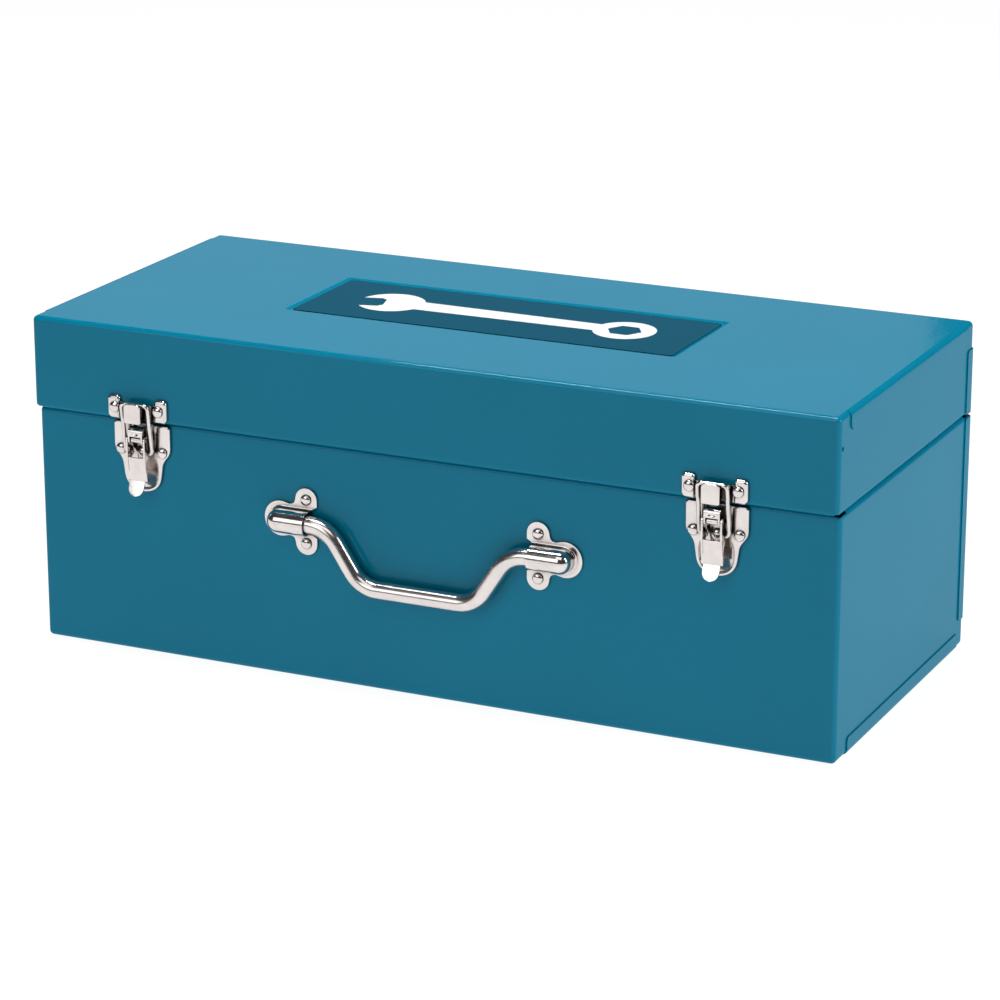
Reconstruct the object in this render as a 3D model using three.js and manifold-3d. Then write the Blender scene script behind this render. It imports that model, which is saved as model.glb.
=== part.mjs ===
// Metal tool box: a pressed steel base and hinged lid, a swinging carrying handle on the front,
// two draw latches across the seam and two stop hinges at the back.
// Units are millimetres, +Z is up, the front (handle and latches) faces -Y.
// The origin is the centre of the base's underside.

import * as THREE from 'three';
import { mergeVertices } from 'three/addons/utils/BufferGeometryUtils.js';
import Module from 'manifold-3d';

const wasm = await Module();
wasm.setup();

// ---------- driving dimensions ----------

const boxWidth = 500;           // over the side flaps
const baseDepth = 217;          // front panel to back panel
const boxHeight = 198;          // underside to top of the lid
const seamHeight = 142.5;       // where lid and base meet
const lidOverhang = 5;          // the lid's front stands out past the base's front
const sheet = 0.8;              // panel thickness
const bendRadius = 3;           // outside radius of every panel bend
const seat = 0.3;               // air between pieces that touch
const rimWidth = 9;             // inward rim round each mouth

const flangeWidth = 10.5;       // back panel's flanges, wrapped onto the sides
const baseFlapHeight = 10;      // bottom panel's flaps, turned up the sides
const lidFlapHeight = 11;       // top panel's flaps, turned down the sides
const flapSetback = 15;         // flaps start this far behind the front panel

const labelHalfWidth = 124;     // recess in the lid's top
const labelHalfDepth = 42;
const labelCentreY = 3;
const labelRecess = 1;
const labelSlope = 3.5;
const labelPlate = 0.4;

const rivetShank = 1.6;
const rivetHead = 3.2;
const rivetDome = 1.9;
const rivetTail = 2.6;

const handleZ = 95.5;           // swing axis of the handle
const handleOut = 6;            // swing axis, out from the front panel
const rodRadius = 5.25;
const rodEndX = 89.9;
const rodShoulderX = 57;        // where the rod would turn down, before its bend is rounded
const rodKneeX = 35.5;
const rodDrop = 33;
const rodBend = 10.5;           // tangent length of each bend
const socketWall = 1;
const socketPlay = 0.65;
const socketMouthX = 69.8;
const socketEndX = 88;          // centre of the socket's round end
const plateRoundX = 89;         // centre of the bracket plate's round end
const bracketEndX = 65.8;
const socketCutInner = 7.1;     // the V cut at the mouth, from the socket's wall
const socketCutOuter = 9.4;     // to the ears' inner edge
const bracketRound = 10.4;
const bracketPlate = 1.2;
const earX = 72.6;
const earZ = 13;
const earRadius = 6.8;

const latchX = 179;
const pressed = 1;              // thickness of the latch and keeper pressings
const panDepth = 2.4;           // how far the drawn pressings stand off the panel
const wireRadius = 1.25;
const bailHalfWidth = 8.6;      // to the wire's centre
const bailHook = [-10, 11.4];   // [y from the base front, z from the seam] of the hooked bar
const leverPivot = [-7.6, -10.2];
const bailPivot = [-5.6, -18.5];
const pinRadius = 1.2;
const pinSleeve = 1.9;          // thicker middle of the lever's pin
const pinSleeveHalf = 3.4;
const cheekInner = 5.1;         // lever's side cheeks
const cheekOuter = 6.2;
const leverHalf = 6.35;         // half width of the lever's face at its lower end
const tabHalf = 4.9;            // finger tab, half width and round end's radius
const tabRoundZ = -38.2;
const latchHalf = 18.5;         // half width of the latch plate
const latchTop = -1.5;          // its top and bottom, from the seam
const latchBottom = -43;
const dishHalf = 7.4;           // half width of its dished floor
const columnHalf = 4.7;         // pivot column on the latch plate
const keeperEarHalf = 19.5;     // outer edge of the keeper's ears
const keeperEarLow = 1;         // their bottom and top, from the seam
const keeperEarHigh = 15;
const keeperHalf = 5.4;         // half width of the keeper's tongue
const keeperFace = 13.2;        // front of the keeper's tongue, out from the base front
const keeperStrip = 10.5;       // half width of the flat strip between the keeper's ears
const keeperLow = 0.7;
const keeperTop = 12.3;
const keeperWallTop = 9.8;

const hingeX = 150;
const hingePinOut = 4;          // hinge pin, out from the back panel
const hingePinRadius = 1.5;
const hingeKnuckle = 3;
const hingeEar = 3.6;
const hingeLeafHalf = 22;
const hingePlate = 1.2;
const hingePinHead = 2.5;
const hingeEarInner = 9;        // inner faces of the bracket's two ears
const hingeCorner = 3;
const hingeBaseSpan = [-26, -6]; // the base bracket's plate, from the seam
const hingeLidSpan = [5, 24];    // the lid leaf's plate
const hingeArmFoot = -22;
const hingeArmReach = 13;       // from the pin to the end of the stop arm
const lidOpenAngle = 105;       // where the lid leaf meets the stop arms

// ---------- places worked out from them ----------

const front = -baseDepth / 2;
const back = baseDepth / 2;
const lidFront = front - lidOverhang;
const half = boxWidth / 2;
const wing = half - sheet;
const baseTop = seamHeight - seat / 2;
const lidBottom = seamHeight + seat / 2;

const paint = { color: 0x12708c, roughness: 0.32, metalness: 0.0 };
const print = { color: 0x0b6280, roughness: 0.4, metalness: 0.0 };
const nickel = { color: 0xd6cfcc, roughness: 0.16, metalness: 1.0 };
const rodNickel = { color: 0xdcd6d2, roughness: 0.12, metalness: 1.0 };
const zinc = { color: 0xb9bbbd, roughness: 0.3, metalness: 1.0 };

// ---------- solid helpers ----------

function solidOf(geometry) {
  geometry.deleteAttribute('normal');
  geometry.deleteAttribute('uv');
  const merged = mergeVertices(geometry, 1e-5);
  const vertProperties = new Float32Array(merged.attributes.position.array);
  const triVerts = new Uint32Array(merged.index.array);
  return new wasm.Manifold(new wasm.Mesh({ numProp: 3, vertProperties, triVerts }));
}

function geometryOf(solid) {
  const mesh = solid.getMesh();
  const geometry = new THREE.BufferGeometry();
  geometry.setAttribute('position', new THREE.BufferAttribute(mesh.vertProperties, 3));
  geometry.setIndex(new THREE.BufferAttribute(mesh.triVerts, 1));
  geometry.computeVertexNormals();
  return geometry;
}

function joined(...solids) {
  return solids.reduce((whole, piece) => whole.add(piece));
}

function cut(solid, ...tools) {
  return tools.reduce((whole, tool) => whole.subtract(tool), solid);
}

function overlapOf(...solids) {
  return solids.reduce((whole, piece) => whole.intersect(piece));
}

function block(x0, x1, y0, y1, z0, z1) {
  const geometry = new THREE.BoxGeometry(x1 - x0, y1 - y0, z1 - z0);
  return solidOf(geometry.translate((x0 + x1) / 2, (y0 + y1) / 2, (z0 + z1) / 2));
}

function prism(shape, depth, basis, offset) {
  const geometry = new THREE.ExtrudeGeometry(shape, { depth, bevelEnabled: false, curveSegments: 4 });
  geometry.applyMatrix4(basis);
  return solidOf(geometry.translate(offset.x, offset.y, offset.z));
}

const alongX = new THREE.Matrix4().set(0, 0, 1, 0, 1, 0, 0, 0, 0, 1, 0, 0, 0, 0, 0, 1);
const alongY = new THREE.Matrix4().set(1, 0, 0, 0, 0, 0, -1, 0, 0, 1, 0, 0, 0, 0, 0, 1);
const alongZ = new THREE.Matrix4();

// A (y, z) outline run from x0 to x1.
function prismX(shape, x0, x1) {
  return prism(shape, x1 - x0, alongX, new THREE.Vector3(x0, 0, 0));
}

// An (x, z) outline run from y0 to y1.
function prismY(shape, y0, y1) {
  return prism(shape, y1 - y0, alongY, new THREE.Vector3(0, y1, 0));
}

// An (x, y) outline run from z0 to z1.
function prismZ(shape, z0, z1) {
  return prism(shape, z1 - z0, alongZ, new THREE.Vector3(0, 0, z0));
}

function polygon(points) {
  return new THREE.Shape(points.map(([u, v]) => new THREE.Vector2(u, v)));
}

function roundedRect(u0, u1, v0, v1, r) {
  const shape = new THREE.Shape();
  shape.absarc(u1 - r, v1 - r, r, 0, Math.PI / 2);
  shape.absarc(u0 + r, v1 - r, r, Math.PI / 2, Math.PI);
  shape.absarc(u0 + r, v0 + r, r, Math.PI, 1.5 * Math.PI);
  shape.absarc(u1 - r, v0 + r, r, 1.5 * Math.PI, 2 * Math.PI);
  shape.closePath();
  return shape;
}

// A block whose edges are rounded in all three directions.
function roundedBlock(x0, x1, y0, y1, z0, z1, r) {
  return overlapOf(
    prismZ(roundedRect(x0, x1, y0, y1, r), z0, z1),
    prismX(roundedRect(y0, y1, z0, z1, r), x0, x1),
    prismY(roundedRect(x0, x1, z0, z1, r), y0, y1),
  );
}

function cylinderX(radius, x0, x1, y, z, sides = 16) {
  const geometry = new THREE.CylinderGeometry(radius, radius, x1 - x0, sides);
  return solidOf(geometry.rotateZ(-Math.PI / 2).translate((x0 + x1) / 2, y, z));
}

function cylinderY(radius, y0, y1, x, z, sides = 16) {
  const geometry = new THREE.CylinderGeometry(radius, radius, y1 - y0, sides);
  return solidOf(geometry.translate(x, (y0 + y1) / 2, z));
}

// The outline moved inwards by a distance, for a drawn pressing's hollow back.
function insetShape(shape, distance) {
  const points = shape.getPoints(4);
  const ring = points.filter((p, i) => p.distanceTo(points[(i + 1) % points.length]) > 1e-4);
  const turn = THREE.ShapeUtils.isClockWise(ring) ? -1 : 1;
  const moved = ring.map((point, i) => {
    const before = ring[(i + ring.length - 1) % ring.length];
    const after = ring[(i + 1) % ring.length];
    const a = point.clone().sub(before).normalize();
    const b = after.clone().sub(point).normalize();
    const normal = new THREE.Vector2(-(a.y + b.y), a.x + b.x).normalize();
    const spread = Math.max(0.5, normal.dot(new THREE.Vector2(-a.y, a.x)));
    return point.clone().addScaledVector(normal, (turn * distance) / spread);
  });
  return new THREE.Shape(moved);
}

// A path through corner points, each corner rounded over the given tangent length.
function roundedPath(points, tangent) {
  const path = new THREE.CurvePath();
  let start = points[0];
  for (let i = 1; i < points.length - 1; i += 1) {
    const corner = points[i];
    const entry = corner.clone().add(points[i - 1].clone().sub(corner).setLength(tangent));
    const leave = corner.clone().add(points[i + 1].clone().sub(corner).setLength(tangent));
    path.add(new THREE.LineCurve3(start, entry));
    path.add(new THREE.QuadraticBezierCurve3(entry, corner, leave));
    start = leave;
  }
  path.add(new THREE.LineCurve3(start, points[points.length - 1]));
  return path;
}

function rodAlong(path, radius, sides, steps) {
  const section = new THREE.Shape();
  for (let i = 0; i < sides; i += 1) {
    const angle = (2 * Math.PI * i) / sides;
    const point = [radius * Math.cos(angle), radius * Math.sin(angle)];
    if (i === 0) section.moveTo(...point);
    else section.lineTo(...point);
  }
  return solidOf(new THREE.ExtrudeGeometry(section, { extrudePath: path, steps }));
}

function node(name, solid, look) {
  const mesh = new THREE.Mesh(geometryOf(solid), new THREE.MeshStandardMaterial(look));
  mesh.name = name;
  return mesh;
}

// ---------- rivets ----------

// A domed rivet along Y: its head faces out (-Y when facing is -1) and its tail is inside.
function rivet(x, z, headSeatY, tailSeatY, facing) {
  const grip = Math.abs(tailSeatY - headSeatY) + 2 * seat;
  const profile = [new THREE.Vector2(0, -grip - 1), new THREE.Vector2(rivetTail, -grip - 1)];
  profile.push(new THREE.Vector2(rivetTail, -grip), new THREE.Vector2(rivetShank, -grip));
  profile.push(new THREE.Vector2(rivetShank, 0));
  const steps = 3;
  for (let i = 0; i <= steps; i += 1) {
    const angle = (i / steps) * (Math.PI / 2);
    profile.push(new THREE.Vector2(rivetHead * Math.cos(angle), rivetDome * Math.sin(angle)));
  }
  profile[profile.length - 1].x = 0;
  const geometry = new THREE.LatheGeometry(profile, 12);
  if (facing < 0) geometry.rotateX(Math.PI);
  return solidOf(geometry.translate(x, headSeatY + facing * seat, z));
}

function rivetHole(x, z, y0, y1) {
  return cylinderY(rivetShank + seat, y0, y1, x, z, 12);
}

// ---------- where the fittings' rivets are ----------

const sides = { left: -1, right: 1 };
const handleRivets = { upper: earZ, lower: -earZ };
const keeperRivet = { x: 14.2, z: 8.2 };
const plateRivet = { x: 13.5, z: -18 };
const plateFootRivet = -19.2;
const hingeRivet = { x: 16, base: -16, lid: 15 };

function throughFront() {
  const holes = [];
  for (const side of Object.values(sides)) {
    for (const lift of Object.values(handleRivets)) holes.push([side * earX, handleZ + lift]);
    for (const x of [-plateRivet.x, plateRivet.x]) {
      holes.push([side * latchX + x, seamHeight + plateRivet.z]);
    }
    holes.push([side * latchX, seamHeight + plateFootRivet]);
  }
  return holes.map(([x, z]) => rivetHole(x, z, front - 2, front + 2));
}

function throughLidFront() {
  const holes = [];
  for (const side of Object.values(sides)) {
    for (const x of [-keeperRivet.x, keeperRivet.x]) {
      holes.push(rivetHole(side * latchX + x, seamHeight + keeperRivet.z, lidFront - 2, lidFront + 2));
    }
  }
  return holes;
}

function throughBack(level) {
  const holes = [];
  for (const side of Object.values(sides)) {
    for (const x of [-hingeRivet.x, hingeRivet.x]) {
      holes.push(rivetHole(side * hingeX + x, seamHeight + level, back - 2, back + 2));
    }
  }
  return holes;
}

// ---------- panels ----------

// The rims round a mouth stop short of each other at the corners, as folded edges do.
function cornerReliefs(yFront, z0, z1) {
  const reliefs = [];
  for (const side of [-1, 1]) {
    const inner = side * (wing - sheet);
    const outer = side * (wing - 5);
    const xs = [Math.min(inner, outer), Math.max(inner, outer)];
    reliefs.push(block(xs[0], xs[1], yFront + sheet, yFront + rimWidth + 1, z0, z1));
    reliefs.push(block(xs[0], xs[1], back - rimWidth - 1, back - sheet, z0, z1));
  }
  return reliefs;
}

function baseShell() {
  const body = roundedBlock(-wing, wing, front, back, 0, baseTop, bendRadius);
  const flapSide = polygon([
    [front + 5, 0],
    [back - flangeWidth - 1.5, 0],
    [back - flangeWidth - 1.5, baseFlapHeight],
    [front + flapSetback + 5, baseFlapHeight],
    [front + flapSetback + 3, baseFlapHeight - 2],
    [front + flapSetback + 2.5, 2.6],
    [front + 5, 1],
  ]);
  const flaps = overlapOf(
    prismX(flapSide, -half, half),
    prismY(roundedRect(-half, half, 0, 60, bendRadius), front, back),
  );
  const flanges = overlapOf(
    prismZ(roundedRect(-half, half, front, back, bendRadius), 17, baseTop - 1),
    block(-half, half, back - flangeWidth, back, 17, baseTop - 1),
  );
  const bay = roundedBlock(
    -wing + sheet,
    wing - sheet,
    front + sheet,
    back - sheet,
    sheet,
    baseTop - sheet,
    bendRadius - sheet,
  );
  const mouth = block(
    -wing + rimWidth,
    wing - rimWidth,
    front + rimWidth,
    back - rimWidth,
    baseTop - 2 * sheet,
    baseTop + 1,
  );
  return cut(
    joined(body, flaps, flanges),
    bay,
    mouth,
    ...cornerReliefs(front, baseTop - 2 * sheet, baseTop + 1),
    ...throughFront(),
    ...throughBack(hingeRivet.base),
  );
}

function labelRecessSolid(depth, grow) {
  const floor = boxHeight - depth;
  const lift = 2;
  const spread = (labelSlope / labelRecess) * lift;
  const widths = [labelHalfWidth - labelSlope + grow, labelHalfWidth + spread + grow];
  const depths = [labelHalfDepth - labelSlope + grow, labelHalfDepth + spread + grow];
  const top = boxHeight + lift;
  const across = polygon([[-widths[0], floor], [widths[0], floor], [widths[1], top], [-widths[1], top]]);
  const along = polygon([
    [labelCentreY - depths[0], floor],
    [labelCentreY + depths[0], floor],
    [labelCentreY + depths[1], top],
    [labelCentreY - depths[1], top],
  ]);
  return overlapOf(prismY(across, lidFront, back), prismX(along, -wing, wing));
}

function lidShell() {
  const body = roundedBlock(-wing, wing, lidFront, back, lidBottom, boxHeight, bendRadius);
  const flapLow = boxHeight - lidFlapHeight;
  const flapSide = polygon([
    [lidFront + flapSetback, boxHeight],
    [lidFront + flapSetback, flapLow + 5],
    [lidFront + flapSetback + 1.5, flapLow + 1.5],
    [lidFront + flapSetback + 5, flapLow],
    [back - flangeWidth - 1.5, flapLow],
    [back - flangeWidth - 1.5, boxHeight],
  ]);
  const flaps = overlapOf(
    prismX(flapSide, -half, half),
    prismY(roundedRect(-half, half, lidBottom - 60, boxHeight, bendRadius), lidFront, back),
  );
  const flangeTop = boxHeight - 16;
  const flanges = overlapOf(
    prismZ(roundedRect(-half, half, lidFront, back, bendRadius), lidBottom + 1, flangeTop),
    block(-half, half, back - flangeWidth, back, lidBottom + 1, flangeTop),
  );
  const hollow = roundedBlock(
    -wing + sheet,
    wing - sheet,
    lidFront + sheet,
    back - sheet,
    lidBottom + sheet,
    boxHeight - sheet,
    bendRadius - sheet,
  );
  const mouth = block(
    -wing + rimWidth,
    wing - rimWidth,
    front + rimWidth,
    back - rimWidth,
    lidBottom - 1,
    lidBottom + 2 * sheet,
  );
  const recessBacking = overlapOf(
    labelRecessSolid(labelRecess + sheet, 0),
    block(-wing, wing, front, back, boxHeight - labelRecess - sheet, boxHeight - sheet / 2),
  );
  return cut(
    joined(cut(joined(body, flaps, flanges), hollow), recessBacking),
    mouth,
    labelRecessSolid(labelRecess, 0),
    ...cornerReliefs(lidFront, lidBottom - 1, lidBottom + 2 * sheet),
    ...throughLidFront(),
    ...throughBack(hingeRivet.lid),
  );
}

function lidLabel() {
  const low = boxHeight - labelRecess + seat;
  const halfWidth = labelHalfWidth - labelSlope - seat;
  const halfDepth = labelHalfDepth - labelSlope - seat;
  const outline = roundedRect(
    -halfWidth,
    halfWidth,
    labelCentreY - halfDepth,
    labelCentreY + halfDepth,
    2,
  );
  return prismZ(outline, low, low + labelPlate);
}

// ---------- carrying handle ----------

function handleRod() {
  const corners = [
    [-rodEndX, 0],
    [-rodShoulderX, 0],
    [-rodKneeX, -rodDrop],
    [rodKneeX, -rodDrop],
    [rodShoulderX, 0],
    [rodEndX, 0],
  ];
  const points = corners.map(([x, z]) => new THREE.Vector3(x, front - handleOut, handleZ + z));
  return rodAlong(roundedPath(points, rodBend), rodRadius, 14, 46);
}

// The bracket's outline for the right-hand side: a round end, and two ears towards the middle.
function bracketShape() {
  const shape = new THREE.Shape();
  const neckX = earX + earRadius + 1.6;
  shape.moveTo(socketMouthX, -socketCutInner);
  shape.lineTo(bracketEndX, -socketCutOuter);
  shape.lineTo(bracketEndX, -earZ);
  shape.absarc(earX, -earZ, earRadius, Math.PI, 1.94 * Math.PI);
  shape.quadraticCurveTo(neckX - 0.4, -9.4, neckX + 2.6, -9.3);
  shape.absarc(plateRoundX, 0, bracketRound, -0.58 * Math.PI, 0.58 * Math.PI);
  shape.lineTo(neckX + 2.6, 9.3);
  shape.quadraticCurveTo(neckX - 0.4, 9.4, earX + earRadius, earZ - 1.2);
  shape.absarc(earX, earZ, earRadius, 0, Math.PI);
  shape.lineTo(bracketEndX, socketCutOuter);
  shape.lineTo(socketMouthX, socketCutInner);
  shape.closePath();
  return shape;
}

// A tube along X with a ball end, filled out to the front panel behind it.
function halfTube(radius, x0, x1) {
  const ball = new THREE.SphereGeometry(radius, 20, 12).translate(x1, -handleOut, 0);
  return joined(
    cylinderX(radius, x0, x1, -handleOut, 0, 24),
    solidOf(ball),
    block(x0, x1, -handleOut, 0, -radius, radius),
    cylinderY(radius, -handleOut, 0, x1, 0, 24),
  );
}

// The right-hand bracket, with its origin on the front panel at the handle's height.
// It is the same upside down, so the left-hand one is this one turned half round.
function handleBracket() {
  const inner = rodRadius + socketPlay;
  const outer = inner + socketWall;
  const plate = prismY(bracketShape(), -seat - bracketPlate, -seat);
  const keep = block(socketMouthX, socketEndX + outer, -handleOut - outer, -seat, -outer, outer);
  const socket = overlapOf(halfTube(outer, socketMouthX, socketEndX), keep);
  const bore = halfTube(inner, bracketEndX - outer, socketEndX);
  const holes = Object.values(handleRivets).map((lift) => rivetHole(earX, lift, -4, 1));
  return cut(joined(plate, socket), bore, ...holes);
}

// ---------- draw latches ----------

function latchPlateShape() {
  const shape = new THREE.Shape();
  const top = latchTop;
  const wide = latchHalf;
  shape.moveTo(wide, top - 2.5);
  shape.quadraticCurveTo(wide, top, wide - 2.5, top);
  shape.lineTo(-wide + 2.5, top);
  shape.quadraticCurveTo(-wide, top, -wide, top - 2.5);
  shape.lineTo(-wide, -15.5);
  shape.bezierCurveTo(-wide, -21, -13.2, -22, -13, -28);
  shape.lineTo(-12.2, -33.5);
  shape.bezierCurveTo(-11.2, -40, -6, latchBottom, 0, latchBottom);
  shape.bezierCurveTo(6, latchBottom, 11.2, -40, 12.2, -33.5);
  shape.lineTo(13, -28);
  shape.bezierCurveTo(13.2, -22, wide, -21, wide, -15.5);
  shape.closePath();
  return shape;
}

// The dished floor of the latch plate, between its raised shoulders and rim.
function latchFloorShape() {
  const shape = new THREE.Shape();
  shape.moveTo(dishHalf, 0);
  shape.lineTo(-dishHalf, 0);
  shape.lineTo(-dishHalf, -22);
  shape.bezierCurveTo(-9.8, -24, -10.2, -27, -9.6, -33);
  shape.bezierCurveTo(-8.8, -38.2, -5, -40.4, 0, -40.4);
  shape.bezierCurveTo(5, -40.4, 8.8, -38.2, 9.6, -33);
  shape.bezierCurveTo(10.2, -27, 9.8, -24, dishHalf, -22);
  shape.closePath();
  return shape;
}

// The upright column that carries the lever's pin: a face, two cheeks and a curved top.
function pivotColumn() {
  const [pinY, pinZ] = leverPivot;
  const outer = new THREE.Shape();
  outer.moveTo(-0.6, -3);
  outer.lineTo(-0.6, pinZ - 2.6);
  outer.lineTo(pinY, pinZ - 2.6);
  outer.absarc(pinY, pinZ, 2.6, -Math.PI / 2, -Math.PI, true);
  outer.lineTo(-10.2, -5.4);
  outer.absarc(-7.8, -5.4, 2.4, Math.PI, Math.PI / 2, true);
  outer.closePath();
  const hollow = polygon([[-0.9, -4], [-0.9, -30], [-9.2, -30], [-9.2, -5.4], [-7.8, -4]]);
  const windowTop = pinZ + pinSleeve + seat + 0.1;
  const window = block(-columnHalf + pressed, columnHalf - pressed, -14, -7, -30, windowTop);
  return cut(
    prismX(outer, -columnHalf, columnHalf),
    prismX(hollow, -columnHalf + pressed, columnHalf - pressed),
    window,
  );
}

function latchPlate() {
  const foot = -seat;
  const face = foot - panDepth;
  const outline = latchPlateShape();
  const pan = cut(
    prismY(outline, face, foot),
    prismY(insetShape(outline, pressed), face + pressed, foot + 1),
    prismY(latchFloorShape(), face - 1, foot + 1),
  );
  const floor = overlapOf(
    prismY(outline, foot - pressed, foot),
    prismY(insetShape(latchFloorShape(), -pressed), foot - pressed, foot),
  );
  const floorWalls = cut(
    overlapOf(
      prismY(insetShape(latchFloorShape(), -pressed), face, foot),
      prismY(outline, face, foot),
    ),
    prismY(latchFloorShape(), face - 1, foot - pressed),
  );
  const holes = [
    rivetHole(-plateRivet.x, plateRivet.z, -8, 1),
    rivetHole(plateRivet.x, plateRivet.z, -8, 1),
    rivetHole(0, plateFootRivet, -8, 1),
    cylinderX(pinRadius + seat, -9, 9, leverPivot[0], leverPivot[1]),
  ];
  return cut(joined(pan, floor, floorWalls, pivotColumn()), ...holes);
}

function keeperShape() {
  const shape = new THREE.Shape();
  const wide = keeperEarHalf;
  const low = keeperEarLow;
  const high = keeperEarHigh;
  shape.moveTo(wide, low + 3);
  shape.lineTo(wide, high - 2.6);
  shape.quadraticCurveTo(wide, high, wide - 2.6, high);
  shape.lineTo(12, high);
  shape.lineTo(9.2, high - 4);
  shape.lineTo(-9.2, high - 4);
  shape.lineTo(-12, high);
  shape.lineTo(-wide + 2.6, high);
  shape.quadraticCurveTo(-wide, high, -wide, high - 2.6);
  shape.lineTo(-wide, low + 3);
  shape.quadraticCurveTo(-wide, low, -wide + 3, low);
  shape.lineTo(wide - 3, low);
  shape.quadraticCurveTo(wide, low, wide, low + 3);
  shape.closePath();
  return shape;
}

// The keeper's raised tongue: two walls and a face whose lip stands above them, so the bail hooks on.
function keeperTongue(rootY) {
  const outline = roundedRect(-keeperHalf, keeperHalf, keeperLow, keeperTop, 1.2);
  const face = prismY(outline, -keeperFace, -keeperFace + pressed);
  const walls = cut(
    block(-keeperHalf, keeperHalf, -keeperFace + pressed / 2, rootY, 1, keeperWallTop),
    block(-keeperHalf + pressed, keeperHalf - pressed, -keeperFace - 1, rootY + 1, 0, 20),
  );
  return joined(face, walls);
}

// The keeper: two drawn ears joined by a flat strip, with the tongue standing on the strip.
function keeper() {
  const seatY = -lidOverhang - seat;
  const face = seatY - panDepth;
  const outline = keeperShape();
  const full = prismY(outline, face, seatY);
  const ears = cut(
    full,
    prismY(insetShape(outline, pressed), face + pressed, seatY + 1),
    block(-keeperStrip, keeperStrip, face - 1, seatY + 1, -5, 30),
  );
  const step = keeperStrip + pressed;
  const ribs = overlapOf(
    full,
    joined(block(-step, -keeperStrip, face, seatY, -5, 30), block(keeperStrip, step, face, seatY, -5, 30)),
  );
  const strip = overlapOf(full, block(-step, step, seatY - pressed, seatY, -5, 30));
  const holes = [
    rivetHole(-keeperRivet.x, keeperRivet.z, face - 2, seatY + 1),
    rivetHole(keeperRivet.x, keeperRivet.z, face - 2, seatY + 1),
  ];
  return cut(joined(ears, ribs, strip, keeperTongue(seatY - pressed / 2)), ...holes);
}

function lever() {
  const [pinY, pinZ] = leverPivot;
  const [bailY, bailZ] = bailPivot;
  const cheek = new THREE.Shape();
  cheek.moveTo(pinY + 2.6, pinZ);
  cheek.absarc(pinY, pinZ, 2.6, 0, Math.PI);
  cheek.lineTo(-10.2, -20.5);
  cheek.lineTo(-9.3, -29);
  cheek.lineTo(-8.2, -29);
  cheek.lineTo(-6.6, -24);
  cheek.absarc(bailY, bailZ, 2.4, -0.45 * Math.PI, 0.1 * Math.PI);
  cheek.closePath();
  const cheeks = cut(
    prismX(cheek, -cheekOuter, cheekOuter),
    block(-cheekInner, cheekInner, -20, 0, -40, 0),
  );
  const face = overlapOf(
    prismX(polygon([[-10.2, -20.5], [-8.6, -34.6], [-7.5, -34.6], [-9.1, -20.5]]), -8, 8),
    prismY(polygon([[-cheekOuter, -20], [-leverHalf, -36], [leverHalf, -36], [cheekOuter, -20]]), -20, 0),
  );
  const tabOutline = new THREE.Shape();
  tabOutline.moveTo(-tabHalf, -33);
  tabOutline.lineTo(-tabHalf, tabRoundZ);
  tabOutline.absarc(0, tabRoundZ, tabHalf, Math.PI, 2 * Math.PI);
  tabOutline.lineTo(tabHalf, -33);
  tabOutline.closePath();
  const tab = overlapOf(
    prismX(polygon([[-8.6, -34], [-12.4, -43.2], [-11.3, -43.7], [-7.5, -34.2]]), -8, 8),
    prismY(tabOutline, -20, 0),
  );
  const holes = [
    cylinderX(pinRadius + seat, -9, 9, pinY, pinZ),
    cylinderX(wireRadius + seat, -9, 9, bailY, bailZ),
  ];
  return cut(joined(cheeks, face, tab), ...holes);
}

function leverPin() {
  const [pinY, pinZ] = leverPivot;
  return joined(
    cylinderX(pinRadius, -cheekOuter + 0.1, cheekOuter - 0.1, pinY, pinZ),
    cylinderX(pinSleeve, -pinSleeveHalf, pinSleeveHalf, pinY, pinZ),
  );
}

function bail() {
  const inward = 4.2;
  const [hookY, hookZ] = bailHook;
  const [pivotY, pivotZ] = bailPivot;
  const points = [
    new THREE.Vector3(-inward, pivotY, pivotZ),
    new THREE.Vector3(-bailHalfWidth, pivotY, pivotZ),
    new THREE.Vector3(-bailHalfWidth, hookY, hookZ),
    new THREE.Vector3(bailHalfWidth, hookY, hookZ),
    new THREE.Vector3(bailHalfWidth, pivotY, pivotZ),
    new THREE.Vector3(inward, pivotY, pivotZ),
  ];
  return rodAlong(roundedPath(points, 1.9), wireRadius, 8, 44);
}

// ---------- stop hinges ----------

// The base bracket: a plate with two ears round the pin, whose arms stop the lid leaf.
function hingeBracket() {
  const stop = ((lidOpenAngle - 90) * Math.PI) / 180;
  const offset = hingePinOut - seat - hingePlate - 0.15;
  const reach = hingeArmReach;
  const armY = offset * Math.sin(stop) + reach * Math.cos(stop);
  const armZ = offset * Math.cos(stop) - reach * Math.sin(stop);
  const arm = polygon([
    [seat, -0.5],
    [hingePinOut + offset * Math.sin(stop), offset * Math.cos(stop)],
    [hingePinOut + armY, armZ],
    [hingePinOut + armY - 1, armZ - 3.5],
    [seat + hingePlate, hingeArmFoot],
    [seat, hingeArmFoot],
  ]);
  const ears = [hingeEarInner, -hingeEarInner - hingePlate].map((x0) =>
    joined(
      cylinderX(hingeEar, x0, x0 + hingePlate, hingePinOut, 0, 24),
      prismX(arm, x0, x0 + hingePlate),
    ),
  );
  const [low, high] = hingeBaseSpan;
  const outline = roundedRect(-hingeLeafHalf, hingeLeafHalf, low, high, hingeCorner);
  const plate = prismY(outline, seat, seat + hingePlate);
  const holes = [
    cylinderX(hingePinRadius + seat, -20, 20, hingePinOut, 0),
    rivetHole(-hingeRivet.x, hingeRivet.base, -1, 4),
    rivetHole(hingeRivet.x, hingeRivet.base, -1, 4),
  ];
  return cut(joined(plate, ...ears), ...holes);
}

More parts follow.
